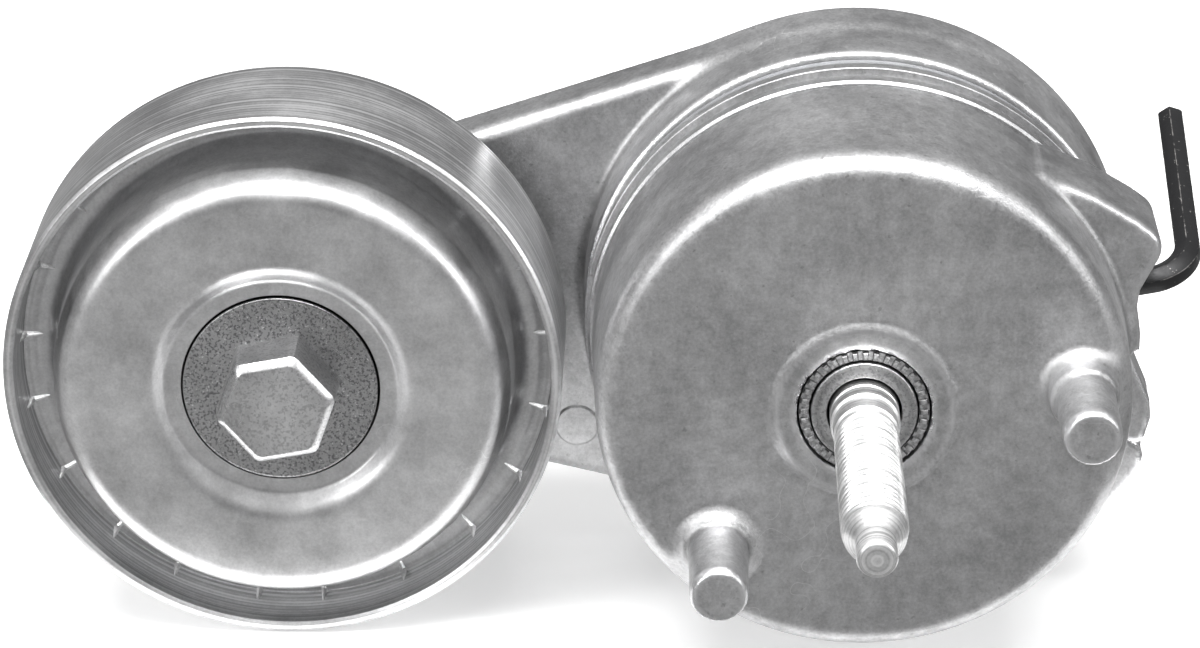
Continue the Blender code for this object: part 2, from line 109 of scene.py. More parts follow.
# %% [markdown]
# ## Floor and light
# Bright metal shows what it reflects. The floor is white and glows a little, so that it stays white at every
# angle. Mirrored in flat metal it would make every face white, so a grey card that only reflections see lies
# just above it, with a hole under the back of the part. The room is a gradient, grey low down and bright
# overhead, and three soft lights bring out the edges. The Standard view transform keeps white paper white.

# %% Floor, room and lights
FLOOR_GAP = 0.2
FLOOR_REACH, CARD_REACH = 6.0, 2.0  # metres from the origin to each side
CARD_HOLE = ((-0.15, -0.004), (0.075, 0.12))  # front left and back right corners, in metres
CARD_GREY, FLOOR_WHITE, FLOOR_GLOW = 0.17, 0.9, 0.35


def plain_material(name, colour, roughness):
    material = bpy.data.materials.new(name)
    material.use_nodes = True
    shader = material.node_tree.nodes["Principled BSDF"]
    shader.inputs["Base Color"].default_value = (*colour, 1)
    shader.inputs["Roughness"].default_value = roughness
    return material


def flat_sheet(name, corners, faces, height, material):
    """A level sheet round the part."""
    mesh = bpy.data.meshes.new(name)
    mesh.from_pydata([(x, y, height) for x, y in corners], [], faces)
    mesh.materials.append(material)
    return add_object(name, mesh)


def square(reach):
    return [(-reach, -reach), (reach, -reach), (reach, reach), (-reach, reach)]


def add_floor():
    paper = plain_material("floor", (FLOOR_WHITE,) * 3, 0.7)
    shader = paper.node_tree.nodes["Principled BSDF"]
    shader.inputs["Emission Color"].default_value = (1, 1, 1, 1)
    shader.inputs["Emission Strength"].default_value = FLOOR_GLOW
    floor = flat_sheet("floor", square(FLOOR_REACH), [(0, 1, 2, 3)], CAD_LOW[2] - FLOOR_GAP * MM, paper)


def add_card():
    """A grey card that only reflections see, so that flat metal faces don't mirror a white floor."""
    (left, front), (right, back) = CARD_HOLE
    corners = square(CARD_REACH) + [(left, front), (right, front), (right, back), (left, back)]
    faces = [(0, 1, 5, 4), (1, 2, 6, 5), (2, 3, 7, 6), (3, 0, 4, 7)]
    card = flat_sheet("card", corners, faces, CAD_LOW[2] - FLOOR_GAP * MM / 2,
                      plain_material("card", (CARD_GREY,) * 3, 0.9))
    card.visible_camera = card.visible_diffuse = card.visible_shadow = False


def add_light(name, place, target, size, power):
    data = bpy.data.lights.new(name, "AREA")
    data.shape = "RECTANGLE"
    data.size, data.size_y = size
    data.energy = power
    light = add_object(name, data)
    light.location = place
    direction = Vector(target) - Vector(place)
    light.rotation_euler = direction.to_track_quat("-Z", "Y").to_euler()


def light_room():
    """Grey room walls that get brighter overhead."""
    world = bpy.data.worlds.new("studio")
    bpy.context.scene.world = world
    world.use_nodes = True
    nodes, links = world.node_tree.nodes, world.node_tree.links
    coordinates = nodes.new("ShaderNodeTexCoord")
    split = nodes.new("ShaderNodeSeparateXYZ")
    ramp = nodes.new("ShaderNodeValToRGB")
    ramp.color_ramp.elements[0].position = 0.1
    ramp.color_ramp.elements[0].color = (0.20, 0.20, 0.205, 1)
    ramp.color_ramp.elements[1].position = 0.85
    ramp.color_ramp.elements[1].color = (0.95, 0.95, 0.95, 1)
    links.new(coordinates.outputs["Generated"], split.inputs[0])
    links.new(split.outputs["Z"], ramp.inputs[0])
    links.new(ramp.outputs[0], nodes["Background"].inputs["Color"])
    nodes["Background"].inputs["Strength"].default_value = 0.8


add_floor()
add_card()
light_room()
add_light("overhead", (-0.05, -0.34, 1.0), (-0.03, 0.0, 0.0), (1.1, 0.36), 20)
add_light("left_front", (-0.95, -0.65, 0.5), (-0.06, 0.0, 0.0), (0.3, 0.7), 3.6)
add_light("right_side", (0.9, -0.3, 0.45), (-0.03, 0.0, 0.0), (0.25, 0.6), 2.2)
bpy.context.scene.view_settings.view_transform = "Standard"
print("floor, card and three lights are in place")

# %% [markdown]
# ## Metal finishes
# A metal looks real when its roughness changes from place to place, more than when its colour does. Each
# finish below mixes a fine grain, larger soft patches and a few thin scratches. All of them read Object
# coordinates, so a pattern stays put on the piece when the piece moves.

# %% Small helpers for shader trees
def node(tree, kind, inputs=None, **settings):
    """Adds a shader node; inputs maps a socket's name or number to a value or to another node's output."""
    made = tree.nodes.new(kind)
    for key, value in settings.items():
        setattr(made, key, value)
    for key, value in (inputs or {}).items():
        if isinstance(value, bpy.types.NodeSocket):
            tree.links.new(value, made.inputs[key])
        else:
            made.inputs[key].default_value = value
    return made


def maths(tree, operation, first, second=0.0):
    return node(tree, "ShaderNodeMath", {0: first, 1: second}, operation=operation).outputs[0]


def times(tree, first, second):
    return maths(tree, "MULTIPLY", first, second)


def plus(tree, first, second):
    return maths(tree, "ADD", first, second)


def noise(tree, vector, scale, detail=3.0, roughness=0.55):
    """Cloudy noise; scale is in features per metre."""
    made = node(tree, "ShaderNodeTexNoise", {"Vector": vector, "Scale": scale, "Detail": detail,
                                             "Roughness": roughness})
    return made.outputs["Fac"]


def between(tree, value, low, high, to_low=0.0, to_high=1.0):
    """Stretches low..high to a new range, and stops at its ends."""
    made = node(tree, "ShaderNodeMapRange", {"Value": value, "From Min": low, "From Max": high,
                                             "To Min": to_low, "To Max": to_high})
    return made.outputs["Result"]


def mix_colour(tree, factor, first, second):
    made = node(tree, "ShaderNodeMix", {"Factor": factor}, data_type="RGBA")
    for socket, value in ((made.inputs[6], first), (made.inputs[7], second)):
        if isinstance(value, bpy.types.NodeSocket):
            tree.links.new(value, socket)
        else:
            socket.default_value = (*value, 1)
    return made.outputs[2]


def bump(tree, height, distance, strength=1.0, normal=None):
    inputs = {"Height": height, "Distance": distance, "Strength": strength}
    if normal is not None:
        inputs["Normal"] = normal
    return node(tree, "ShaderNodeBump", inputs).outputs["Normal"]


def start_material(name, metallic):
    material = bpy.data.materials.new(name)
    material.use_nodes = True
    tree = material.node_tree
    shader = tree.nodes["Principled BSDF"]
    shader.inputs["Metallic"].default_value = metallic
    place = node(tree, "ShaderNodeTexCoord").outputs["Object"]
    return material, tree, shader, place


def hairlines(tree, place, scale, width, mask_scale):
    """Thin wandering scratches: the places where a smooth noise crosses its middle value, kept in patches."""
    level = noise(tree, place, scale, 1.0)
    near = maths(tree, "ABSOLUTE", maths(tree, "SUBTRACT", level, 0.5))
    line = between(tree, near, 0.0, width, 1.0, 0.0)
    patch = between(tree, noise(tree, place, mask_scale, 2.0), 0.56, 0.66)
    return times(tree, line, patch)


# %% [markdown]
# ** Die-cast aluminium** is grey and satin, with a very fine skin texture. Its rounded edges are painted
# brighter, partly as rubbed wear and partly as a painted highlight, and its corners are painted darker as
# painted shade. The castings carry a number at every point, called "edge", that is high on a rounded edge and
# low in a corner, and the finish reads it.

# %% Die-cast aluminium
def cast_aluminium():
    material, tree, shader, place = start_material("cast_aluminium", 1.0)
    edge = node(tree, "ShaderNodeAttribute", attribute_name="edge").outputs["Fac"]
    soft = noise(tree, place, 55.0, 4.0)
    mottle = noise(tree, place, 420.0, 5.0, 0.7)
    grain = noise(tree, place, 1900.0, 4.0, 0.7)
    stains = between(tree, noise(tree, place, 140.0, 6.0, 0.7), 0.54, 0.70)
    flecks = between(tree, noise(tree, place, 760.0, 3.0), 0.66, 0.72)
    blend = plus(tree, times(tree, soft, 0.35),
                  plus(tree, times(tree, mottle, 0.35), times(tree, grain, 0.3)))
    body = mix_colour(tree, between(tree, blend, 0.40, 0.60), (0.40, 0.40, 0.405), (0.68, 0.68, 0.685))
    dirty = mix_colour(tree, times(tree, stains, 0.35), body, (0.30, 0.30, 0.30))
    specked = mix_colour(tree, times(tree, flecks, 0.5), dirty, (0.24, 0.24, 0.24))
    # rubbed wear and painted highlight: rounded edges are painted brighter
    rubbed_and_highlit = mix_colour(tree, between(tree, edge, 0.25, 1.0, 0.0, 0.8), specked, (0.86, 0.86, 0.87))
    # painted shade: corners and concave fillets are painted darker, where shade falls
    corner = mix_colour(tree, between(tree, edge, -0.2, -1.0, 0.0, 0.55), rubbed_and_highlit, (0.20, 0.20, 0.20))
    scratch = hairlines(tree, place, 120.0, 0.004, 30.0)
    tree.links.new(mix_colour(tree, times(tree, scratch, 0.6), corner, (0.9, 0.9, 0.9)),
                   shader.inputs["Base Color"])
    rough = between(tree, plus(tree, soft, times(tree, grain, 0.4)), 0.4, 1.0, 0.33, 0.50)
    shine = times(tree, between(tree, edge, 0.2, 1.0), 0.14)
    tree.links.new(maths(tree, "SUBTRACT", rough, shine), shader.inputs["Roughness"])
    skin = bump(tree, grain, 0.00007, 0.8)
    waves = bump(tree, mottle, 0.00012, 0.4, skin)
    tree.links.new(bump(tree, scratch, -0.00003, 0.6, waves), shader.inputs["Normal"])
    return material


# %% [markdown]
# **Turned steel.** A lathe leaves rings round its axis, so this finish measures how far each point is from
# the piece's own axis, and runs a one-way noise along that distance. Adding the distance along the axis gives
# the same fine rings to cylinders as to flat faces.

# %% Steel turned about an axis
NO_RINGS = 99  # a radius in millimetres past every piece


def turned_steel(name, centre, colour, roughness, ring_depth, speckle=0.0, grime=0.0, rings_from=0.0):
    """rings_from is the radius in millimetres outside which the rings show, or NO_RINGS for none."""
    material, tree, shader, place = start_material(name, 1.0)
    to_axis = (-centre[0] * MM, 0, -centre[1] * MM)
    moved = node(tree, "ShaderNodeMapping", {"Vector": place, "Location": to_axis})
    flat = node(tree, "ShaderNodeVectorMath", {0: moved.outputs[0], 1: (1, 0, 1)}, operation="MULTIPLY")
    radius = node(tree, "ShaderNodeVectorMath", {0: flat.outputs[0]}, operation="LENGTH").outputs["Value"]
    along = node(tree, "ShaderNodeSeparateXYZ", {0: moved.outputs[0]}).outputs["Y"]
    travel = plus(tree, radius, times(tree, along, 1.37))
    fine = node(tree, "ShaderNodeTexNoise", {"W": travel, "Scale": 5200.0, "Detail": 3.0},
                noise_dimensions="1D").outputs["Fac"]
    broad = node(tree, "ShaderNodeTexNoise", {"W": travel, "Scale": 900.0, "Detail": 2.0},
                 noise_dimensions="1D").outputs["Fac"]
    soft = noise(tree, place, 70.0, 4.0)
    grain = noise(tree, place, 2200.0, 3.0, 0.6)
    mottle = noise(tree, place, 480.0, 5.0, 0.7)
    darker = tuple(channel * 0.62 for channel in colour)
    shown = between(tree, radius, (rings_from - 0.4) * MM, (rings_from + 0.4) * MM) if rings_from else 1.0
    broad = times(tree, maths(tree, "SUBTRACT", broad, 0.5), shown)
    blend = plus(tree, times(tree, soft, 0.4),
                  plus(tree, times(tree, mottle, 0.35), times(tree, grain, 0.25)))
    body = mix_colour(tree, between(tree, plus(tree, blend, broad), 0.36, 0.64), darker, colour)
    specks = between(tree, grain, 0.49, 0.60)
    body = mix_colour(tree, times(tree, specks, speckle), body, (0.13, 0.13, 0.135))
    glints = between(tree, noise(tree, place, 2600.0, 2.0), 0.66, 0.70)
    body = mix_colour(tree, times(tree, glints, speckle), body, (0.95, 0.95, 0.95))
    stains = between(tree, noise(tree, place, 160.0, 6.0, 0.7), 0.54, 0.74)
    body = mix_colour(tree, times(tree, stains, grime), body, (0.2, 0.19, 0.18))
    scratch = hairlines(tree, place, 150.0, 0.005, 45.0)
    tree.links.new(mix_colour(tree, times(tree, scratch, 0.7), body, (0.95, 0.95, 0.95)),
                   shader.inputs["Base Color"])
    spread = plus(tree, times(tree, broad, 0.5), soft)
    tree.links.new(between(tree, spread, 0.3, 0.7, roughness - 0.07, roughness + 0.09),
                   shader.inputs["Roughness"])
    rings = bump(tree, times(tree, fine, shown), ring_depth, 0.6)
    pits = bump(tree, grain, 0.00004, 0.5 + speckle * 0.4, rings)
    tree.links.new(bump(tree, scratch, -0.00002, 0.5, pits), shader.inputs["Normal"])
    return material


# %% [markdown]
# **The other finishes.** Black oxide rubs through to steel at the key's corners. The seam band is a filled
# plastic, scored by the arm. Nylon and rubber are dull and slightly uneven.

# %% Black oxide, plastics, rubber and spring steel
def black_oxide():
    material, tree, shader, place = start_material("black_oxide", 0.35)
    edge = node(tree, "ShaderNodeAttribute", attribute_name="edge").outputs["Fac"]
    cloud = noise(tree, place, 420.0, 5.0, 0.7)
    worn = times(tree, between(tree, edge, 0.4, 1.0), between(tree, cloud, 0.45, 0.62))
    nicks = between(tree, noise(tree, place, 1400.0, 2.0), 0.69, 0.72)
    shown = maths(tree, "MAXIMUM", worn, times(tree, nicks, 0.6))
    tree.links.new(mix_colour(tree, shown, (0.010, 0.010, 0.011), (0.30, 0.29, 0.28)),
                   shader.inputs["Base Color"])
    tree.links.new(between(tree, cloud, 0.3, 0.7, 0.28, 0.46), shader.inputs["Roughness"])
    tree.links.new(bump(tree, noise(tree, place, 1200.0, 4.0), 0.00004, 0.5), shader.inputs["Normal"])
    return material


def dull_plastic(name, colour, roughness, grain_scale, depth, metallic=0.0):
    material, tree, shader, place = start_material(name, metallic)
    cloud = noise(tree, place, 180.0, 4.0)
    grain = noise(tree, place, grain_scale, 3.0)
    pale = tuple(min(1.0, channel * 1.6 + 0.02) for channel in colour)
    tree.links.new(mix_colour(tree, between(tree, cloud, 0.35, 0.75, 0.0, 0.6), colour, pale),
                   shader.inputs["Base Color"])
    tree.links.new(between(tree, cloud, 0.3, 0.7, roughness - 0.08, roughness + 0.08),
                   shader.inputs["Roughness"])
    tree.links.new(bump(tree, grain, depth, 0.6), shader.inputs["Normal"])
    return material


CAST = cast_aluminium()
PULLEY_STEEL = turned_steel("pulley_steel", PULLEY, (0.84, 0.84, 0.845), 0.36, 0.00001, grime=0.15,
                            rings_from=41.2)
BURNISHED = turned_steel("burnished_steel", PULLEY, (0.97, 0.97, 0.97), 0.45, 0.0, rings_from=NO_RINGS)
WASHER_ZINC = turned_steel("washer_zinc", PULLEY, (0.60, 0.60, 0.605), 0.32, 0.0, speckle=0.8, grime=0.25,
                           rings_from=NO_RINGS)
BEARING_STEEL = turned_steel("bearing_steel", PULLEY, (0.72, 0.72, 0.73), 0.16, 0.000003)
HEAD_ZINC = turned_steel("head_zinc", PULLEY, (0.86, 0.86, 0.865), 0.30, 0.0, speckle=0.4, grime=0.1,
                         rings_from=NO_RINGS)
BOLT_ZINC = turned_steel("bolt_zinc", PIVOT, (0.98, 0.98, 0.98), 0.36, 0.000003)
SLEEVE_ZINC = turned_steel("sleeve_zinc", PIVOT, (0.66, 0.66, 0.665), 0.36, 0.00001, speckle=0.5, grime=0.35)
BLACK = black_oxide()
SEAM = dull_plastic("seam_band", (0.23, 0.235, 0.245), 0.5, 2600.0, 0.00005, metallic=0.3)
NYLON = dull_plastic("nylon", (0.10, 0.10, 0.10), 0.5, 1800.0, 0.00003)
RUBBER = dull_plastic("seal_rubber", (0.018, 0.018, 0.018), 0.55, 1500.0, 0.00003)
SPRING = dull_plastic("spring_steel", (0.09, 0.09, 0.095), 0.4, 1500.0, 0.00003, metallic=0.8)
print("finishes:", sorted(m.name for m in bpy.data.materials))

# %% [markdown]
# ## From points to pieces
# Every finished piece goes through the same last step: its mesh is made in millimetres, turned into metres,
# shaded smooth with its real corners kept sharp, and fitted to the moving body that it belongs to.

# %% Making and fitting a piece
def piece_from(name, points, faces, material, sharp=40.0, edge=None):
    """A mesh object from points in millimetres; edge is the optional wear number of each point."""
    mesh = bpy.data.meshes.new(name)
    mesh.from_pydata((np.asarray(points, float) * MM).tolist(), [], [list(map(int, f)) for f in faces])
    if edge is not None:
        mesh.attributes.new("edge", "FLOAT", "POINT").data.foreach_set("value", np.asarray(edge, np.float32))
    work = bmesh.new()
    work.from_mesh(mesh)
    if work.calc_volume(signed=True) < 0:
        bmesh.ops.reverse_faces(work, faces=work.faces)
    work.to_mesh(mesh)
    work.free()
    mesh.validate()
    mesh.shade_smooth()
    mesh.set_sharp_from_angle(angle=math.radians(sharp))
    mesh.materials.append(material)
    return add_object(name, mesh)


def fit(piece, body, slot, *replaced):
    """Lets the piece move with its body, and hides the plain parts that it stands for."""
    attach(piece, body)
    if replaced:
        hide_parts(*replaced)
    triangles = sum(len(p.vertices) - 2 for p in piece.data.polygons)
    print(f"{piece.name}: {triangles} triangles on {body}")
    return piece


# %% [markdown]
# **Turning.** Most steel pieces here are profiles turned about an axis. A profile is a closed list of corners
# (radius, distance along Y), and a third number rounds that corner. The corners are rounded first, with short
# arcs, and then the profile is turned in many small steps, which keeps the outline of the big pulley round.

# %% Rounded profiles, turned
def rounded(corners, step=12.0):
    """Replaces each corner that has a radius by an arc, with a point about every step degrees."""
    points = []
    for i, corner in enumerate(corners):
        here = Vector(corner[:2])
        radius = corner[2] if len(corner) > 2 else 0.0
        back = (Vector(corners[i - 1][:2]) - here)
        ahead = (Vector(corners[(i + 1) % len(corners)][:2]) - here)
        if radius <= 0 or back.length == 0 or ahead.length == 0:
            points.append(tuple(here))
            continue
        angle = back.angle(ahead)
        cut = min(radius / math.tan(angle / 2), back.length * 0.49, ahead.length * 0.49)
        radius = cut * math.tan(angle / 2)
        start, end = here + back.normalized() * cut, here + ahead.normalized() * cut
        centre = here + (back.normalized() + ahead.normalized()).normalized() * (radius / math.sin(angle / 2))
        sweep = math.pi - angle
        count = max(2, math.ceil(math.degrees(sweep) / step))
        first, last = start - centre, end - centre
        for k in range(count + 1):
            t = k / count
            way = (first * math.sin((1 - t) * sweep) + last * math.sin(t * sweep)) / math.sin(sweep)
            points.append(tuple(centre + way))
    return points


def ring_points(radii, angles, y, centre=PIVOT):
    """A row of points round centre; radii is one number, or one for each angle, and 0 makes a single point."""
    if np.max(radii) < 1e-6:
        return [(centre[0], y, centre[1])]
    return [(centre[0] + r * math.cos(a), y, centre[1] + r * math.sin(a))
            for r, a in zip(np.broadcast_to(radii, len(angles)), angles)]


def woven(rows, closed=False):
    """Points and faces of a skin over rows of points, where one point is a tip; closed joins the ends."""
    around = max(len(row) for row in rows)
    points, rings = [], []
    for row in rows:
        rings.append([len(points) + (k if len(row) > 1 else 0) for k in range(around)])
        points += row
    faces = []
    for here, there in zip(rings, rings[1:] + (rings[:1] if closed else [])):
        if here[0] == here[1] and there[0] == there[1]:
            continue
        for k in range(around):
            n = (k + 1) % around
            faces.append(list(dict.fromkeys((here[k], here[n], there[n], there[k]))))
    return points, faces


def end_caps(rows):
    """The two flat faces that close a skin whose rows have no tip."""
    around, last = len(rows[0]), (len(rows) - 1) * len(rows[0])
    return [list(reversed(range(around))), list(range(last, last + around))]


def turned(name, corners, centre, material, segments=192, sharp=35.0):
    """Turns a rounded profile round the line through centre, parallel to Y."""
    angles = np.arange(segments) * (math.tau / segments)
    rows = [ring_points(radius, angles, y, centre) for radius, y in rounded(corners)]
    return piece_from(name, *woven(rows, closed=True), material, sharp)


# %% [markdown]
# ## Castings from distance formulas
# A casting has no sharp corners: every rib, pin and ear runs into its neighbour through a fillet. Joining
# solids with Booleans and bevelling the seams is fragile. Here each casting is one formula that tells how far
# any point is from its skin, negative inside. Two formulas join through a fillet of a chosen radius by one
# line of arithmetic. A grid of samples then finds the skin, and each mesh point is moved onto it exactly.

# %% Distance formulas
def join(first, second, fillet=0.0):
    """Union; a concave fillet of that radius runs along the seam."""
    if fillet <= 0:
        return np.minimum(first, second)
    a, b = np.maximum(fillet - first, 0), np.maximum(fillet - second, 0)
    return np.maximum(fillet, np.minimum(first, second)) - np.hypot(a, b)


def common(first, second, radius=0.0):
    """What both have in common; the edge between them is rounded with that radius."""
    return -join(-first, -second, radius)


def without(body, cut, radius=0.0):
    return common(body, -cut, radius)


def outline_distance(px, py, corners):
    """Signed distance to a closed outline of straight sides."""
    px, py = np.broadcast_arrays(px, py)
    nearest = np.full(px.shape, np.inf)
    inside = np.zeros(px.shape, bool)
    for (ax, ay), (bx, by) in zip(corners, corners[1:] + corners[:1]):
        ex, ey, wx, wy = bx - ax, by - ay, px - ax, py - ay
        t = np.clip((wx * ex + wy * ey) / (ex * ex + ey * ey), 0, 1)
        nearest = np.minimum(nearest, (wx - ex * t) ** 2 + (wy - ey * t) ** 2)
        crosses = (ay <= py) != (by <= py)
        inside ^= crosses & (px < ax + (py - ay) * ex / (ey if ey else 1))
    return np.where(inside, -1, 1) * np.sqrt(nearest)


def slab(flat, y, front, back, front_radius=0.8, back_radius=0.8):
    """A flat outline's distance made a plate from front to back along Y, with rounded edges."""
    return common(common(flat, front - y, front_radius), y - back, back_radius)


def tapered_strap(px, py, start, start_radius, end, end_radius):
    """Signed distance to two circles and the straight sides tangent to both."""
    dx, dy = end[0] - start[0], end[1] - start[1]
    length = math.hypot(dx, dy)
    ux, uy = dx / length, dy / length
    along = (px - start[0]) * ux + (py - start[1]) * uy
    off = np.abs((py - start[1]) * ux - (px - start[0]) * uy)
    sine = (start_radius - end_radius) / length
    cosine = math.sqrt(1 - sine * sine)
    slide = along - off * sine / cosine
    near_start = np.hypot(along, off) - start_radius
    near_end = np.hypot(along - length, off) - end_radius
    side = off * cosine + along * sine - start_radius
    return np.where(slide < 0, near_start, np.where(slide > length, near_end, side))


# %% [markdown]
# **Finding the skin.** The space is cut into small cubes. Each cube that the skin passes through gets one
# point, and the four cubes round every crossed grid edge make a quad. This is known as surface nets. The
# points are then slid along the formula's slope until it reads zero there.

# %% Surface nets
CORNERS = np.array([(i, j, k) for i in (0, 1) for j in (0, 1) for k in (0, 1)])
CUBE_EDGES = [(a, b) for a in range(8) for b in range(a + 1, 8) if np.abs(CORNERS[a] - CORNERS[b]).sum() == 1]


def surface_nets(distance, low, high, step):
    counts = [int(math.ceil((b - a) / step)) + 1 for a, b in zip(low, high)]
    axes = [low[i] + step * np.arange(counts[i]) for i in range(3)]
    grid = (axes[0][:, None, None], axes[1][None, :, None], axes[2][None, None, :])
    field = np.broadcast_to(distance(*grid), counts)
    inside = field < 0
    near = [slice(0, -1), slice(1, None)]
    held = sum(inside[near[i], near[j], near[k]].astype(np.int8) for i, j, k in CORNERS)
    active = (held > 0) & (held < 8)
    index = np.full(active.shape, -1, np.int64)
    index[active] = np.arange(active.sum())
    cells = np.argwhere(active)
    values = np.stack([field[tuple((cells + corner).T)] for corner in CORNERS], axis=1)
    total, hits = np.zeros((len(cells), 3)), np.zeros(len(cells))
    for a, b in CUBE_EDGES:
        crossed = (values[:, a] < 0) != (values[:, b] < 0)
        share = np.where(crossed, values[:, a] / np.where(crossed, values[:, a] - values[:, b], 1), 0)
        total += np.where(crossed[:, None], CORNERS[a] + share[:, None] * (CORNERS[b] - CORNERS[a]), 0)
        hits += crossed
    points = np.asarray(low) + step * (cells + total / hits[:, None])
    quads = []
    for axis in range(3):
        u, v = (axis + 1) % 3, (axis + 2) % 3
        lower, upper = [slice(1, -1)] * 3, [slice(1, -1)] * 3
        lower[axis], upper[axis] = slice(0, -1), slice(1, None)
        before, after = inside[tuple(lower)], inside[tuple(upper)]
        for mask, order in ((before & ~after, (0, 1, 2, 3)), (after & ~before, (3, 2, 1, 0))):
            places = np.argwhere(mask)
            places[:, u] += 1
            places[:, v] += 1
            around = []
            for du, dv in ((-1, -1), (0, -1), (0, 0), (-1, 0)):
                cell = places.copy()
                cell[:, u] += du
                cell[:, v] += dv
                around.append(index[tuple(cell.T)])
            quads.append(np.stack([around[k] for k in order], axis=1))
    return points, np.concatenate(quads)


def settle(distance, points, step, rounds=3):
    """Moves points onto the skin along the formula's slope."""
    reach = step * 0.05
    for _ in range(rounds):
        rise = [distance(*(points + reach * e).T) - distance(*(points - reach * e).T) for e in np.eye(3)]
        slope = np.stack(rise, axis=1) / (2 * reach)
        size = np.maximum((slope ** 2).sum(axis=1), 0.05)
        move = slope * (distance(*points.T) / size)[:, None]
        points = points - np.clip(move, -step / 2, step / 2)
    return points


def edge_number(distance, points, reach=0.9):
    """How strongly the skin bends outwards (above 0) or inwards (below 0) at each point."""
    here = distance(*points.T)
    around = sum(distance(*(points + s * reach * e).T) for e in np.eye(3) for s in (1, -1))
    return np.clip((around - 6 * here) / reach, -1, 1)


def casting(name, distance, low, high, material, step):
    points, quads = surface_nets(distance, low, high, step)
    points = settle(distance, points, step)
    piece = piece_from(name, points, quads, material, 50.0, edge_number(distance, points))
    print(f"{name}: {len(points)} points on a {step} mm grid")
    return piece


# %% [markdown]
# ## The base casting
# The base is a shallow drum with a rounded front edge. Two locating pins stand on its face, each on a flared
# root. A pin ear with a thin flange behind it, and a stop ear, stand out from its wall. Inside are the room for
# the spring and the post that the arm's sleeve stands in. Y is 0 at the mounting face.

# %% Base casting
BASE_LENGTH = 35.95
FRONT_EDGE = 4.1  # radius of the drum's front edge
ROOM_RADIUS, ROOM_FLOOR = 36.6, 7.0
POST_RADIUS, POST_END = 13.0, 38.15
SLEEVE_HOLE, COLLAR_HOLE, COLLAR_DEPTH, KEY_HOLE = 8.4, 10.25, 4.1, 2.6
KEY_Y, KEY_ANGLE = 32.6, math.radians(10.5)
LEFT_PIN, RIGHT_PIN = (-21.8, -23.0), (32.8, 4.2)


def disc(x, z, radius, centre=PIVOT):
    return np.hypot(x - centre[0], z - centre[1]) - radius


def arc(radius, start, end, count, centre=PIVOT):
    """Points of an arc, angles in degrees from +X towards +Z."""
    return [(centre[0] + radius * math.cos(a), centre[1] + radius * math.sin(a))
            for a in np.radians(np.linspace(start, end, count))]


def locating_pin(x, y, z, centre, length, root, step):
    """A cast dowel: a flared root, a shoulder, and a slimmer end with a rounded rim."""
    shaft = common(disc(x, z, 4.42 + 0.012 * (y + length), centre), -length - y, 0.55)
    end_chamfer = disc(x, z, 4.42, centre) * 0.8 + (-length + 0.9 - y) * 0.6
    shaft = np.maximum(np.maximum(shaft, end_chamfer), y - 3)
    shoulder = np.maximum(common(disc(x, z, 5.3, centre), -step - y, 0.6), y - 3)
    flare = np.maximum(common(disc(x, z, root - 1.6, centre), -0.9 - y, 0.7), y - 3)
    return join(join(shaft, shoulder, 0.5), flare, 0.8)


def pin_ear(x, y, z):
    outline = arc(39.0, 3.5, 50, 12) + [(26.9, 32.6), (35.6, 28.9), (42.0, 25.1)]
    outline += arc(4.2, 50, -35, 10, (41.7, 20.1)) + [(42.9, 13.2), (42.6, 10.5), (43.3, 6.0), (43.3, 3.0)]
    block = slab(outline_distance(x, z, outline) + 0.3, y, 15.5, 31.2, 1.6, 0.5)
    thin = outline_distance(x, z, arc(39.0, 3.5, 40, 10) + arc(43.6, 40, 3.5, 12))
    flange = slab(thin, y, 30.5, 35.9, 0.4, 0.4)
    return join(block, flange, 0.6)


def stop_ear(x, y, z):
    tip = [(45.0, -6.8), (46.6, -10.5), (46.9, -13.6), (46.0, -17.2), (44.9, -18.3)]
    root = outline_distance(x, z, arc(40.0, -24, -3, 8) + [(43.3, -3.0)] + tip)
    rear = outline_distance(x, z, arc(42.75, -23.5, -4, 8) + [(43.6, -3.4)] + tip)
    return join(slab(root + 0.2, y, 28.5, 35.9, 0.9, 0.3), slab(rear + 0.1, y, 34.0, 38.15, 0.5, 0.7))


def base_distance(x, y, z):
    radius = np.hypot(x, z)
    wall = radius - (40.72 + 1.35 * np.clip(y, 0, 36) / 36)
    drum = common(wall, -y, FRONT_EDGE)
    drum = common(drum, y - BASE_LENGTH, 0.3)
    mound = common(radius - 13.2, -0.4 - y, 0.35)
    drum = join(drum, np.maximum(mound, y - 3), 2.2)
    drum = join(drum, pin_ear(x, y, z), 1.6)
    drum = join(drum, stop_ear(x, y, z), 1.2)
    drum = join(drum, locating_pin(x, y, z, LEFT_PIN, 17.45, 7.2, 1.6), 2.4)
    drum = join(drum, locating_pin(x, y, z, RIGHT_PIN, 19.45, 6.9, 5.4), 2.4)
    room = common(common(radius - ROOM_RADIUS, ROOM_FLOOR - y, 1.2), POST_RADIUS - radius, 1.0)
    drum = without(drum, room, 0.4)
    post = np.maximum(radius - POST_RADIUS, y - POST_END)
    drum = join(drum, np.maximum(post, 5 - y))
    drum = without(drum, radius - SLEEVE_HOLE, 0.2)
    drum = without(drum, np.maximum(radius - COLLAR_HOLE, y - COLLAR_DEPTH), 0.35)
    away = x * math.cos(KEY_ANGLE) + z * math.sin(KEY_ANGLE)
    across = np.hypot(z * math.cos(KEY_ANGLE) - x * math.sin(KEY_ANGLE), y - KEY_Y) - KEY_HOLE
    return without(drum, np.maximum(np.maximum(across, 30 - away), away - 60), 0.35)


fit(casting("base_casting", base_distance, (-43.5, -20.6, -43.5), (48.5, 39.2, 43.5), CAST, step=0.68),
    "base", "cast_aluminium", "base_housing")

# %% [markdown]
# Behind the drum's rim the wall carries rolled rings: two bright lands with a dark gap between them. They are
# turned here as one thin band that lies on the casting.

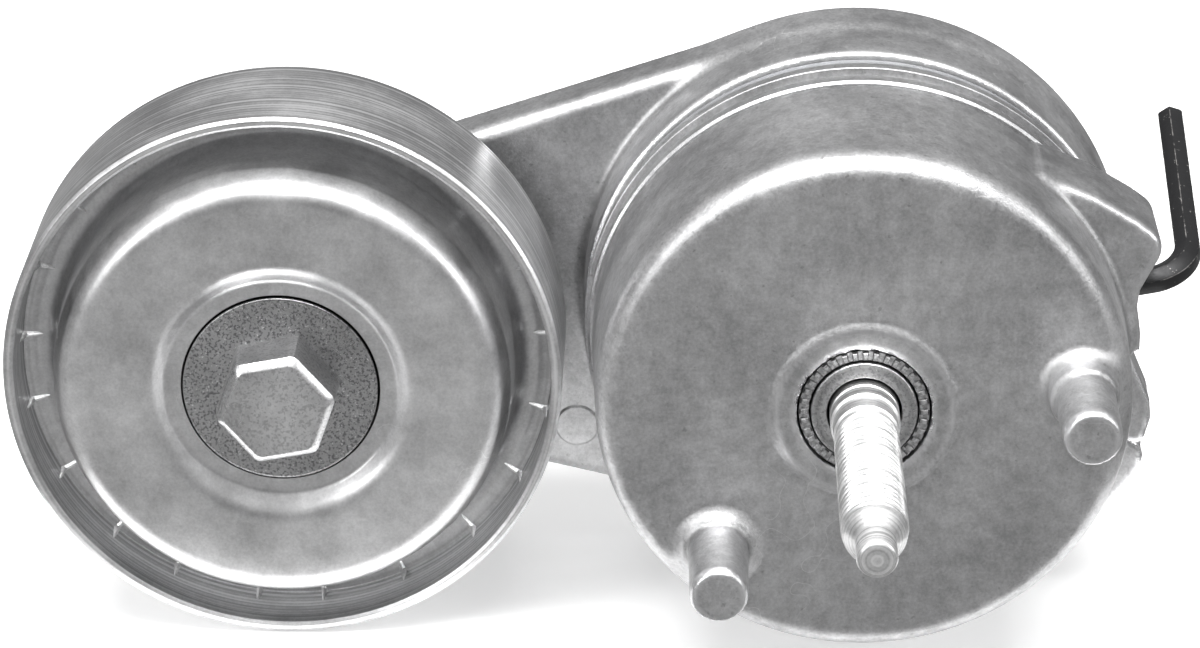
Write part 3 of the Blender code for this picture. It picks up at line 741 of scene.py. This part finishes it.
# %% Rings on the base rim
rim_rings = [(41.2, 29.1), (42.15, 29.1), (42.58, 29.5, 0.2), (42.58, 31.75, 0.2), (41.9, 32.15), (41.9, 33.35),
             (43.17, 33.65, 0.25), (43.17, 35.95, 0.3), (41.2, 35.95)]
fit(turned("base_rim_rings", rim_rings, PIVOT, CAST, 256), "base", "cast_aluminium")
fit(turned("arm_seam_ring", [(38.6, 36.3), (42.28, 36.3, 0.25), (42.28, 37.6), (42.0, 37.8), (42.0, 38.0),
                             (42.28, 38.2), (42.28, 40.0, 0.25), (38.6, 40.0)], PIVOT, SEAM, 224),
    "base", "seam_band", "seam_ring")

# %% [markdown]
# ## The arm casting
# The arm is a cap over the drum, a flat plate with straight tapered sides, and a boss that carries the
# pulley's bearing. The stop lug hangs over the seam. The arm's back has a shallow step that leaves the hub
# and the boss raised, and a pocket that makes the plate lighter.

# %% Arm casting
BOSS = PULLEY
ARM_FRONT, PLATE_FRONT, ARM_BACK = 40.32, 51.0, 60.95
HUB_STRAP, BOSS_STRAP = 43.7, 18.9  # radii of the plate's two round ends


def stop_lug(x, y, z):
    face = [(44.3, -20.2), (46.4, -21.6), (47.0, -24.0), (45.6, -27.4), (37.6, -39.6), (34.4, -41.2)]
    foot = outline_distance(x, z, arc(40.5, -56, -25.5, 10) + face)
    tooth = outline_distance(x, z, arc(43.9, -46, -25.5, 8) + face[:4] + [(36.5, -39.0)])
    return join(slab(foot + 0.2, y, 41.3, 60.5, 0.9, 1.2), slab(tooth + 0.25, y, 36.3, 43.0, 0.7, 0.3), 0.7)


def arm_distance(x, y, z):
    radius, boss_radius = np.hypot(x, z), np.hypot(x - BOSS[0], z - BOSS[1])
    hub_wall = radius - (43.3 + 0.5 * np.clip(y - 40.3, 0, 20.7) / 20.7)
    hub = slab(hub_wall, y, ARM_FRONT, ARM_BACK, 0.9, 1.6)
    strap = tapered_strap(x, z, PIVOT, HUB_STRAP, BOSS, BOSS_STRAP)
    plate = slab(strap, y, PLATE_FRONT, ARM_BACK, 2.6, 1.5)
    arm = join(hub, plate, 1.6)
    cone = boss_radius - (12.55 + 4.3 * np.clip((y - 33) / 18, 0, 1) ** 2)
    arm = join(arm, slab(cone, y, 31.82, 60.4, 0.5, 1.0), 3.0)
    arm = join(arm, np.maximum(common(boss_radius - 8.15, 20.02 - y, 0.6), y - 40))
    arm = join(arm, stop_lug(x, y, z), 1.2)
    step = common(strap + 3.2, np.maximum(12.5 - radius, 13.0 - boss_radius), 1.0)
    arm = without(arm, common(step, 60.2 - y), 0.4)
    pocket = outline_distance(x, z, [(-48.5, 12.5), (-66.5, 8.5), (-66.5, -14.0), (-48.5, -19.0)])
    arm = without(arm, common(pocket - 0.3, 55.6 - y, 1.2), 0.8)
    room = np.maximum(common(common(radius - 37.1, 15.4 - radius, 0.8), y - 55.5, 1.0), 38 - y)
    arm = without(arm, room, 0.3)
    arm = without(arm, radius - 11.3, 0.3)
    return without(arm, np.maximum(boss_radius - 5.3, y - 51), 0.3)


fit(casting("arm_casting", arm_distance, (-110.0, 19.4, -45.0), (48.6, 61.6, 45.0), CAST, step=0.72),
    "arm", "cast_aluminium", "tensioner_arm")
EJECTOR = (-44.8, -25.5)
ejector_profile = [(0, 50.75), (3.3, 50.75, 0.15), (3.7, 51.02), (3.7, 51.4), (0, 51.4)]
fit(turned("ejector_mark", ejector_profile, EJECTOR, CAST, 48), "arm", "cast_aluminium")

# %% [markdown]
# ## The pulley
# One sheet of steel is spun into the whole pulley: the flat belt rim, an open channel, the domed web and the
# sleeve that grips the bearing. Real sheet bends round corners, so every corner of the profile has a radius.

# %% Pulley shell
RIM_THICKNESS = 1.7
RIM_INNER = PULLEY_RADIUS - RIM_THICKNESS
shell_profile = [
    (RIM_INNER, 18.9, 0.25), (RIM_INNER, 29.45, 0.25), (40.9, 29.55), (39.6, 30.1, 2.0), (37.4, 30.0, 1.6),
    (36.35, 27.6, 3.0), (35.75, 18.6, 3.0), (33.7, 13.5, 4.2), (20.6, 13.5, 4.5), (18.0, 15.95, 1.6),
    (15.5, 16.05, 0.1), (15.5, 19.2), (20.3, 19.2), (20.3, 33.5, 0.2), (22.2, 33.5, 0.4), (22.2, 15.4, 1.5),
    (32.6, 15.4, 2.6), (34.1, 19.8, 2.0), (34.9, 29.2, 2.6), (37.6, 32.0, 2.0), (RIM_INNER, 32.0, 0.3),
    (RIM_INNER, 42.5, 0.2), (RIM_INNER + 0.35, 42.8, 0.2), (PULLEY_RADIUS - 0.35, 42.8, 0.3),
    (PULLEY_RADIUS - 0.02, 42.3, 0.4), (PULLEY_RADIUS - 0.02, 19.0, 0.35), (PULLEY_RADIUS - 0.55, 18.52, 0.2),
    (RIM_INNER + 0.5, 18.52, 0.2)]
fit(turned("pulley_body", shell_profile, PULLEY, PULLEY_STEEL, 320), "pulley", "pulley_steel", "pulley_shell")

# %% [markdown]
# The channel holds a row of short raised ticks, where the sheet was folded. They are copies of one
# small ridge, so Geometry Nodes places them: the group has named inputs for the count, the radius and the
# distance along the axis, and a fixed seed that varies each tick's turn a little.

# %% Ring of copies, by Geometry Nodes
def ring_group():
    """A node group that sets copies of its own geometry round a circle in the XZ plane."""
    group = bpy.data.node_groups.new("ring_of_copies", "GeometryNodeTree")
    face = group.interface
    face.new_socket("Geometry", in_out="INPUT", socket_type="NodeSocketGeometry")
    for label, kind, value in (("Count", "Int", 8), ("Radius", "Float", 0.01), ("Centre", "Vector", (0, 0, 0)),
                               ("Start Angle", "Float", 0.0), ("Angle Variation", "Float", 0.0),
                               ("Seed", "Int", 1), ("Material", "Material", None)):
        socket = face.new_socket(label, in_out="INPUT", socket_type="NodeSocket" + kind)
        if value is not None:
            socket.default_value = value
    face.new_socket("Geometry", in_out="OUTPUT", socket_type="NodeSocketGeometry")
    enter, leave = group.nodes.new("NodeGroupInput"), group.nodes.new("NodeGroupOutput")
    index = group.nodes.new("GeometryNodeInputIndex").outputs[0]
    wobble = node(group, "FunctionNodeRandomValue", {"ID": index, "Seed": enter.outputs["Seed"]},
                  data_type="FLOAT")
    share = maths(group, "DIVIDE", index, enter.outputs["Count"])
    angle = plus(group, times(group, share, math.tau), enter.outputs["Start Angle"])
    spread = times(group, maths(group, "SUBTRACT", wobble.outputs[1], 0.5),
                   enter.outputs["Angle Variation"])
    angle = plus(group, angle, spread)
    out = times(group, maths(group, "COSINE", angle), enter.outputs["Radius"])
    up = times(group, maths(group, "SINE", angle), enter.outputs["Radius"])
    offset = node(group, "ShaderNodeCombineXYZ", {"X": out, "Z": up}).outputs[0]
    place = node(group, "ShaderNodeVectorMath", {0: offset, 1: enter.outputs["Centre"]}, operation="ADD")
    points = node(group, "GeometryNodePoints",
                  {"Count": enter.outputs["Count"], "Position": place.outputs[0]}).outputs[0]
    turn = node(group, "ShaderNodeCombineXYZ", {"Y": times(group, angle, -1.0)}).outputs[0]
    rotation = node(group, "FunctionNodeEulerToRotation", {0: turn}).outputs[0]
    copies = node(group, "GeometryNodeInstanceOnPoints",
                  {"Points": points, "Instance": enter.outputs["Geometry"], "Rotation": rotation}).outputs[0]
    real = node(group, "GeometryNodeRealizeInstances", {"Geometry": copies}).outputs[0]
    painted = node(group, "GeometryNodeSetMaterial", {"Geometry": real, "Material": enter.outputs["Material"]})
    group.links.new(painted.outputs[0], leave.inputs[0])
    return group


RING = ring_group()


def ring_of(template, name, material, **inputs):
    """Runs the ring group on a template piece that is drawn at the origin, and keeps the plain result."""
    template.name = name + "_template"
    ring = template.modifiers.new("Ring", "NODES")
    ring.node_group = RING
    sockets = {item.name: item.identifier for item in RING.interface.items_tree if item.in_out == "INPUT"}
    for label, value in {**inputs, "Material": material}.items():
        ring[sockets[label.replace("_", " ")]] = value
    mesh = bpy.data.meshes.new_from_object(template.evaluated_get(bpy.context.evaluated_depsgraph_get()))
    bpy.data.objects.remove(template)
    mesh.set_sharp_from_angle(angle=math.radians(40))
    return add_object(name, mesh)


def ridge(name, path, width, height, material):
    """A rounded ridge along path; each path point is (x, y, direction x, direction y) where it stands up."""
    across = np.linspace(-math.pi / 2, math.pi / 2, 7)
    rows = []
    for i, (x, y, ux, uy) in enumerate(path):
        taper = math.sin(math.pi * (0.08 + 0.84 * i / (len(path) - 1)))
        lifts = [height * taper * math.cos(a) - 0.12 for a in across]
        row = [(x + ux * lift, y + uy * lift, width * taper * math.sin(a)) for lift, a in zip(lifts, across)]
        rows.append(row + [(x - ux * 0.5, y - uy * 0.5, 0)])
    points, faces = woven(rows)
    return piece_from(name, points, faces + end_caps(rows), material)


along_floor = [(r, 29.95 - 0.25 * (r - 39.0) / 3, 0, -1) for r in np.linspace(39.0, 41.5, 8)]
up_wall = [(RIM_INNER, y, -1, 0) for y in np.linspace(29.2, 26.0, 8)]
tick = ridge("tick", along_floor + [(RIM_INNER - 0.2, 29.4, -0.7, -0.7)] + up_wall, 0.52, 0.95, BURNISHED)
for point in tick.data.vertices:
    point.co.x -= RIM_INNER * MM
ticks = ring_of(tick, "channel_ticks", BURNISHED, Count=21, Radius=RIM_INNER * MM,
                Centre=(PULLEY[0] * MM, 0, PULLEY[1] * MM), Start_Angle=math.radians(4),
                Angle_Variation=0.07, Seed=3)
fit(ticks, "pulley", "pulley_steel")

# %% [markdown]
# ## Hexagon heads and the screw thread
# A hexagon head is forged: its sides lean in a little, and its free end has a flat bevel along each side. The
# dust shield under the pulley bolt is a turned dish, and a thin disc with a raised rim covers it.

# %% Hexagon head
HEX_FLATS = 17.0


def hex_head(name, near, far, turn, centre, material, dish=0.0):
    """A head from its seat, near, to its free end, far; a dish makes the free end slightly hollow."""
    steps = 96
    sign = math.copysign(1, far - near)
    apothem, corner = HEX_FLATS / 2, HEX_FLATS / math.sqrt(3)
    angles = np.arange(steps) * math.tau / steps
    folded = angles % (math.pi / 3) - math.pi / 6

    def row(radii, y):
        return ring_points(radii, angles + turn, y, centre)

    def outline(share, blunt):
        return np.minimum(apothem * share / np.cos(folded), corner * share - blunt)

    rows = [row(0, near), row(outline(0.995, 0.15), near)]
    for share, blunt, drop in ((0.965, 0.25, 1.15), (0.94, 0.3, 0.85), (0.845, 0.25, 0.1), (0.815, 0.2, 0.0)):
        rows.append(row(outline(share, blunt), far - sign * drop))
    if dish:
        rows += [row(4.2, far), row(3.7, far - sign * dish)]
    rows.append(row(0, far - sign * dish))
    return piece_from(name, *woven(rows), material, 24)


fit(turned("pulley_bolt_shank", [(0, 16.0), (7.2, 16.0), (7.2, 17.1), (4.95, 17.1), (4.95, 45.0), (3.95, 46.5),
                                 (0, 46.5)], PULLEY, BEARING_STEEL, 64), "arm", "zinc_steel", "pulley_bolt")
HEAD_TURN = math.radians(10.8)
fit(hex_head("pulley_bolt_head", 16.6, 6.62, HEAD_TURN, PULLEY, HEAD_ZINC), "arm", "zinc_steel")
washer = [(5.3, 17.38), (9.5, 17.38, 1.5), (12.0, 16.8, 1.5), (14.75, 15.5, 0.15), (15.18, 15.62, 0.2),
          (15.18, 16.25, 0.15), (12.4, 17.9, 1.5), (11.6, 18.6, 0.3), (11.6, 19.2), (5.3, 19.2)]
fit(turned("dust_shield_front", washer, PULLEY, WASHER_ZINC, 160), "arm", "zinc_steel", "front_dust_shield")
disc_cover = [(7.0, 15.52), (14.85, 15.52, 0.1), (15.18, 15.75, 0.15), (15.18, 16.2, 0.1), (14.4, 16.4),
              (7.0, 16.4)]
fit(turned("washer_disc", disc_cover, PULLEY, WASHER_ZINC, 160), "arm", "zinc_steel")
rear_shield = [(13.8, 32.2), (18.5, 32.2, 0.3), (19.2, 32.8, 0.3), (19.2, 33.4, 0.15), (13.8, 33.4)]
fit(turned("dust_shield_rear", rear_shield, PULLEY, WASHER_ZINC, 128), "arm", "zinc_steel", "rear_dust_shield")

# %% [markdown]
# **The M10 thread** is a grid of points wound round the shank. At each turn round the axis the thread's ridge
# has moved on by one pitch, so the radius depends on the distance along the axis and on the angle together.
# The thread fades out at both ends.

# %% Mounting bolt
PITCH, THREAD_RADIUS, THREAD_DEPTH = 1.5, 4.94, 0.75


def thread_radius(y, angle, start, end):
    phase = (y / PITCH - angle / math.tau) % 1.0
    tooth = np.clip(1.25 - np.abs(phase - 0.5) * 2.9, 0, 1)
    fade = np.clip((y - start) / 2.2, 0, 1) * np.clip((end - y) / 3.0, 0, 1)
    core = THREAD_RADIUS - THREAD_DEPTH
    full = core + THREAD_DEPTH * tooth
    return full * fade + (THREAD_RADIUS - 0.32) * (1 - fade)


def bolt_shank(name):
    """Dog point, cone, thread, the plain collars near the face, and the shank back to the flange."""
    start, end = -43.7, -9.5
    columns = 72
    fixed = [(0.0, -51.97), (2.2, -51.97), (2.75, -51.6), (2.97, -51.2), (2.97, -46.4), (3.15, -46.0),
             (4.5, -44.1)]
    ys = list(np.arange(start, end, 0.125))
    tail = [(4.62, -9.4), (4.94, -9.1), (4.94, -5.6), (5.28, -5.3), (5.28, -2.9), (5.05, -2.7), (5.05, -2.3),
            (5.28, -2.1), (5.28, 8.0), (4.94, 8.5), (4.94, 63.9), (10.7, 63.9), (10.98, 64.2), (10.98, 64.75),
            (10.7, 65.0), (8.6, 66.2), (0.0, 66.2)]
    angles = np.arange(columns) * math.tau / columns
    rows = [ring_points(r, angles, y) for r, y in fixed]
    rows += [ring_points(thread_radius(y, angles, start, end), angles, y) for y in ys]
    rows += [ring_points(r, angles, y) for r, y in tail]
    return piece_from(name, *woven(rows), BOLT_ZINC, 34)


fit(bolt_shank("mounting_bolt_shank"), "mounting_bolt", "zinc_steel", "mounting_bolt")
fit(hex_head("mounting_bolt_head", 66.0, 75.08, math.radians(10), PIVOT, BOLT_ZINC, dish=0.5),
    "mounting_bolt", "zinc_steel")

# %% [markdown]
# **Sleeve and collar.** The steel sleeve that the arm turns on ends in a collar that was pressed into the
# face, with blocky teeth round it. The teeth are one block, copied by the same node group.

# %% Sleeve, collar teeth, retaining plate
fit(turned("sleeve", [(5.7, -0.78, 0.2), (8.08, -0.78, 0.35), (8.08, 63.58, 0.3), (5.7, 63.58, 0.3)], PIVOT,
           SLEEVE_ZINC, 96), "base", "zinc_steel", "pivot_sleeve")
fit(turned("collar_ring", [(8.4, -0.05), (9.88, -0.05), (9.88, 3.78), (8.4, 3.78)], PIVOT, SLEEVE_ZINC, 96),
    "base", "zinc_steel", "knurled_collar")


def tooth_block(name):
    """One collar tooth, a small block with chamfered top edges, centred on the ring of teeth."""
    inner, outer, low, high, half = -0.72, 0.68, 0.6, -0.55, 0.42
    points = [(inner, low, -half), (outer, low, -half * 1.15), (outer, low, half * 1.15), (inner, low, half),
              (inner, high + 0.2, -half), (outer, high + 0.3, -half * 1.1), (outer, high + 0.3, half * 1.1),
              (inner, high + 0.2, half), (inner + 0.15, high, -half * 0.7),
              (outer - 0.25, high, -half * 0.75), (outer - 0.25, high, half * 0.75),
              (inner + 0.15, high, half * 0.7)]
    faces = [(0, 1, 2, 3), (8, 11, 10, 9)]
    for row in (0, 4):
        faces += [(row + k, row + 4 + k, row + 4 + (k + 1) % 4, row + (k + 1) % 4) for k in range(4)]
    return piece_from(name, points, faces, SLEEVE_ZINC, 30)


teeth = ring_of(tooth_block("tooth"), "collar_teeth", SLEEVE_ZINC, Count=36, Radius=9.15 * MM,
                Centre=(0, 0, 0), Angle_Variation=0.03, Seed=5)
fit(teeth, "base", "zinc_steel")
fit(turned("rear_plate", [(8.4, 61.5), (19.95, 61.5, 0.2), (19.95, 63.45, 0.4), (8.4, 63.45, 0.2)], PIVOT,
           SLEEVE_ZINC, 128), "base", "zinc_steel", "retaining_plate")

# %% [markdown]
# ## The lock pin
# The lock pin is a hexagon key. Its six corners are slightly rounded, the bend is a smooth arc, and both ends
# are chamfered. The wear number is high along the corners, where black oxide rubs off first.

# %% Lock pin
KEY_FLATS, KEY_TIP, KEY_BEND_START, KEY_BEND_RADIUS = 4.0, 38.8, 46.8, 6.3
KEY_LONG_LEG, KEY_RISE = 34.0, math.radians(18.0)


def lock_pin(name):
    out = Vector((math.cos(KEY_ANGLE), 0, math.sin(KEY_ANGLE)))
    along = Vector((0, math.cos(KEY_RISE), math.sin(KEY_RISE)))
    side = out.cross(along).normalized()
    origin = Vector((0, KEY_Y, 0))
    stations = []
    for reach, size in ((KEY_TIP + 0.02, 0.80), (KEY_TIP + 0.12, 0.90), (KEY_TIP + 0.45, 0.985)):
        stations.append((origin + out * reach, out, size))
    stations += [(origin + out * reach, out, 0.99) for reach in np.linspace(KEY_TIP + 1.2, KEY_BEND_START, 6)]
    bend = origin + out * KEY_BEND_START
    for a in np.linspace(0, math.pi / 2, 19)[1:]:
        place = bend + (out * math.sin(a) + along * (1 - math.cos(a))) * KEY_BEND_RADIUS
        stations.append((place, out * math.cos(a) + along * math.sin(a), 0.99))
    last = stations[-1][0]
    stations += [(last + along * reach, along, 0.99) for reach in np.linspace(1.5, KEY_LONG_LEG - 0.5, 14)]
    stations += [(last + along * (KEY_LONG_LEG - short), along, size)
                 for short, size in ((0.15, 0.92), (0.02, 0.82))]
    ring = []
    for corner in range(6):
        middle = math.radians(60 * corner)
        for offset in (-7.0, -3.5, 0.0, 3.5, 7.0):
            turn = middle + math.radians(offset * 0.55)
            ring.append((turn, 1.0 - 0.0016 * abs(offset), 1.0 - abs(offset) / 9))
    reach = KEY_FLATS / math.sqrt(3) * 0.975
    rows, wear = [], []
    for place, way, size in stations:
        up = way.cross(side)
        rows.append([tuple(place + (side * math.cos(angle) + up * math.sin(angle)) * reach * scale * size)
                     for angle, scale, _ in ring])
        wear += [worn if size > 0.95 else 1.0 for _, _, worn in ring]
    tips = [[tuple(sum(map(Vector, row), Vector()) / len(row))] for row in (rows[0], rows[-1])]
    return piece_from(name, *woven([tips[0], *rows, tips[1]]), BLACK, 40, [0.0, *wear, 0.0])


fit(lock_pin("hexagon_key"), "lock_pin", "black_oxide", "lock_pin")

# %% [markdown]
# ## Inside: the spring, the bearing and the plain discs
# The torsion spring is one long coil of even pitch with a round section. The bearing's balls are one ball,
# copied by the ring group.

# %% Torsion spring
def coil(name, radius, wire, turns, front, back):
    per_turn, around = 72, 20
    count = int(turns * per_turn) + 1
    rise = (back - front) / (turns * math.tau * radius)
    rows = []
    for i in range(count):
        share = i / (count - 1)
        angle = share * turns * math.tau
        middle = np.array((radius * math.cos(angle), front + (back - front) * share, radius * math.sin(angle)))
        out = np.array((math.cos(angle), 0, math.sin(angle)))
        way = np.array((-math.sin(angle), rise, math.cos(angle))) / math.hypot(1, rise)
        up = np.cross(out, way)
        size = wire * min(1.0, 0.9 + 0.1 * min(i, count - 1 - i))
        rows.append([middle + (out * math.cos(a) + up * math.sin(a)) * size
                     for a in np.arange(around) * math.tau / around])
    points, faces = woven(rows)
    return piece_from(name, points, faces + end_caps(rows), SPRING, 50)


spring_low, spring_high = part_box("torsion_spring")
WIRE = 3.23
SPRING_RADIUS, TURNS, END_GAP = 28.0, 4.25, 0.1
fit(coil("spring_coil", SPRING_RADIUS, WIRE, TURNS, spring_low.y / MM + END_GAP + WIRE,
         spring_high.y / MM - END_GAP - WIRE), "base", "spring_steel", "torsion_spring")

# %% Bearing
bearing_low, bearing_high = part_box("bearing_outer_ring")
BEARING_FRONT, BEARING_BACK = bearing_low.y / MM, bearing_high.y / MM
BEARING_MIDDLE = (BEARING_FRONT + BEARING_BACK) / 2
BALL_PITCH, BALL_RADIUS, BALL_COUNT = 14.25, 3.28, 8


def groove(side, count=15):
    """The ball's groove in a ring: side is -1 in the inner ring and 1 in the outer ring."""
    reach = 12.3 if side < 0 else 16.2
    half = math.acos(abs(reach - BALL_PITCH) / 3.6)
    return [(BALL_PITCH + side * 3.6 * math.cos(a), BEARING_MIDDLE + 3.6 * math.sin(a))
            for a in np.linspace(-half, half, count)]


inner = [(8.5, BEARING_FRONT, 0.4), (12.3, BEARING_FRONT, 0.2)] + groove(-1)
inner += [(12.3, BEARING_BACK, 0.2), (8.5, BEARING_BACK, 0.4)]
fit(turned("inner_race", inner, PULLEY, BEARING_STEEL, 96), "arm", "bearing_steel", "bearing_inner_ring")
outer = [(20.0, BEARING_BACK, 0.4), (16.2, BEARING_BACK, 0.2)] + groove(1)[::-1]
outer += [(16.2, BEARING_FRONT, 0.2), (20.0, BEARING_FRONT, 0.4)]
fit(turned("outer_race", outer, PULLEY, BEARING_STEEL, 128), "pulley", "bearing_steel", "bearing_outer_ring")
for end, front in (("front", BEARING_FRONT + 0.3), ("rear", BEARING_BACK - 1.2)):
    lip = [(12.6, front + 0.25, 0.15), (13.3, front, 0.15), (15.5, front, 0.1), (15.9, front + 0.2, 0.1),
           (15.9, front + 0.9, 0.1), (12.6, front + 0.9, 0.1)]
    fit(turned("seal_" + end, lip, PULLEY, RUBBER, 96), "pulley", "seal_rubber", "bearing_seal_" + end)


def ball(name):
    mesh = bpy.data.meshes.new(name)
    work = bmesh.new()
    bmesh.ops.create_uvsphere(work, u_segments=32, v_segments=20, radius=BALL_RADIUS * MM)
    work.to_mesh(mesh)
    work.free()
    mesh.shade_smooth()
    return add_object(name, mesh)


balls = ring_of(ball("ball"), "race_balls", BEARING_STEEL, Count=BALL_COUNT, Radius=BALL_PITCH * MM,
                Centre=(PULLEY[0] * MM, BEARING_MIDDLE * MM, PULLEY[1] * MM), Start_Angle=math.pi / BALL_COUNT)
fit(balls, "ball_cage", "bearing_steel", *[f"bearing_ball_{i + 1}" for i in range(BALL_COUNT)])

# %% [markdown]
# The parts that nobody sees up close are plain turned discs and bands with rounded edges. Only the bearing's
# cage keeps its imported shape, and gets the nylon finish.

# %% Plain discs and bands
for name, body, replaced, segments, corners in (
        ("washer_thrust", "base", "thrust_washer", 96,
         [(8.4, 38.5), (15.0, 38.5, 0.2), (15.0, 40.0, 0.2), (8.4, 40.0)]),
        ("seat_front", "base", "spring_seat_front", 128,
         [(23.0, 7.3), (33.0, 7.3, 0.3), (33.0, 9.3, 0.5), (23.0, 9.3, 0.5)]),
        ("band_damper", "base", "damper_band", 128,
         [(33.2, 14.0, 0.4), (35.9, 14.0, 0.4), (35.9, 34.0, 0.4), (33.2, 34.0, 0.4)]),
        ("seat_rear", "arm", "spring_seat_rear", 128,
         [(23.0, 53.2, 0.5), (33.0, 53.2, 0.5), (33.0, 55.2, 0.3), (23.0, 55.2)]),
        ("bushing", "arm", "hub_bushing", 96,
         [(8.4, 40.6, 0.3), (11.0, 40.6, 0.3), (11.0, 60.7, 0.3), (8.4, 60.7, 0.3)])):
    fit(turned(name, corners, PIVOT, NYLON, segments), body, "nylon", replaced)
cage = bpy.data.objects["bearing_cage"]
cage.data.materials.clear()
cage.data.materials.append(NYLON)
print("kept as packed:", cage.name)

# %% [markdown]
# ## The imported box
# The imported model's box is printed in millimetres, its low corner and then its high corner.

# %% Print the imported box
print("packed box mm  ", [round(v / MM, 2) for v in (*CAD_LOW, *CAD_HIGH)])
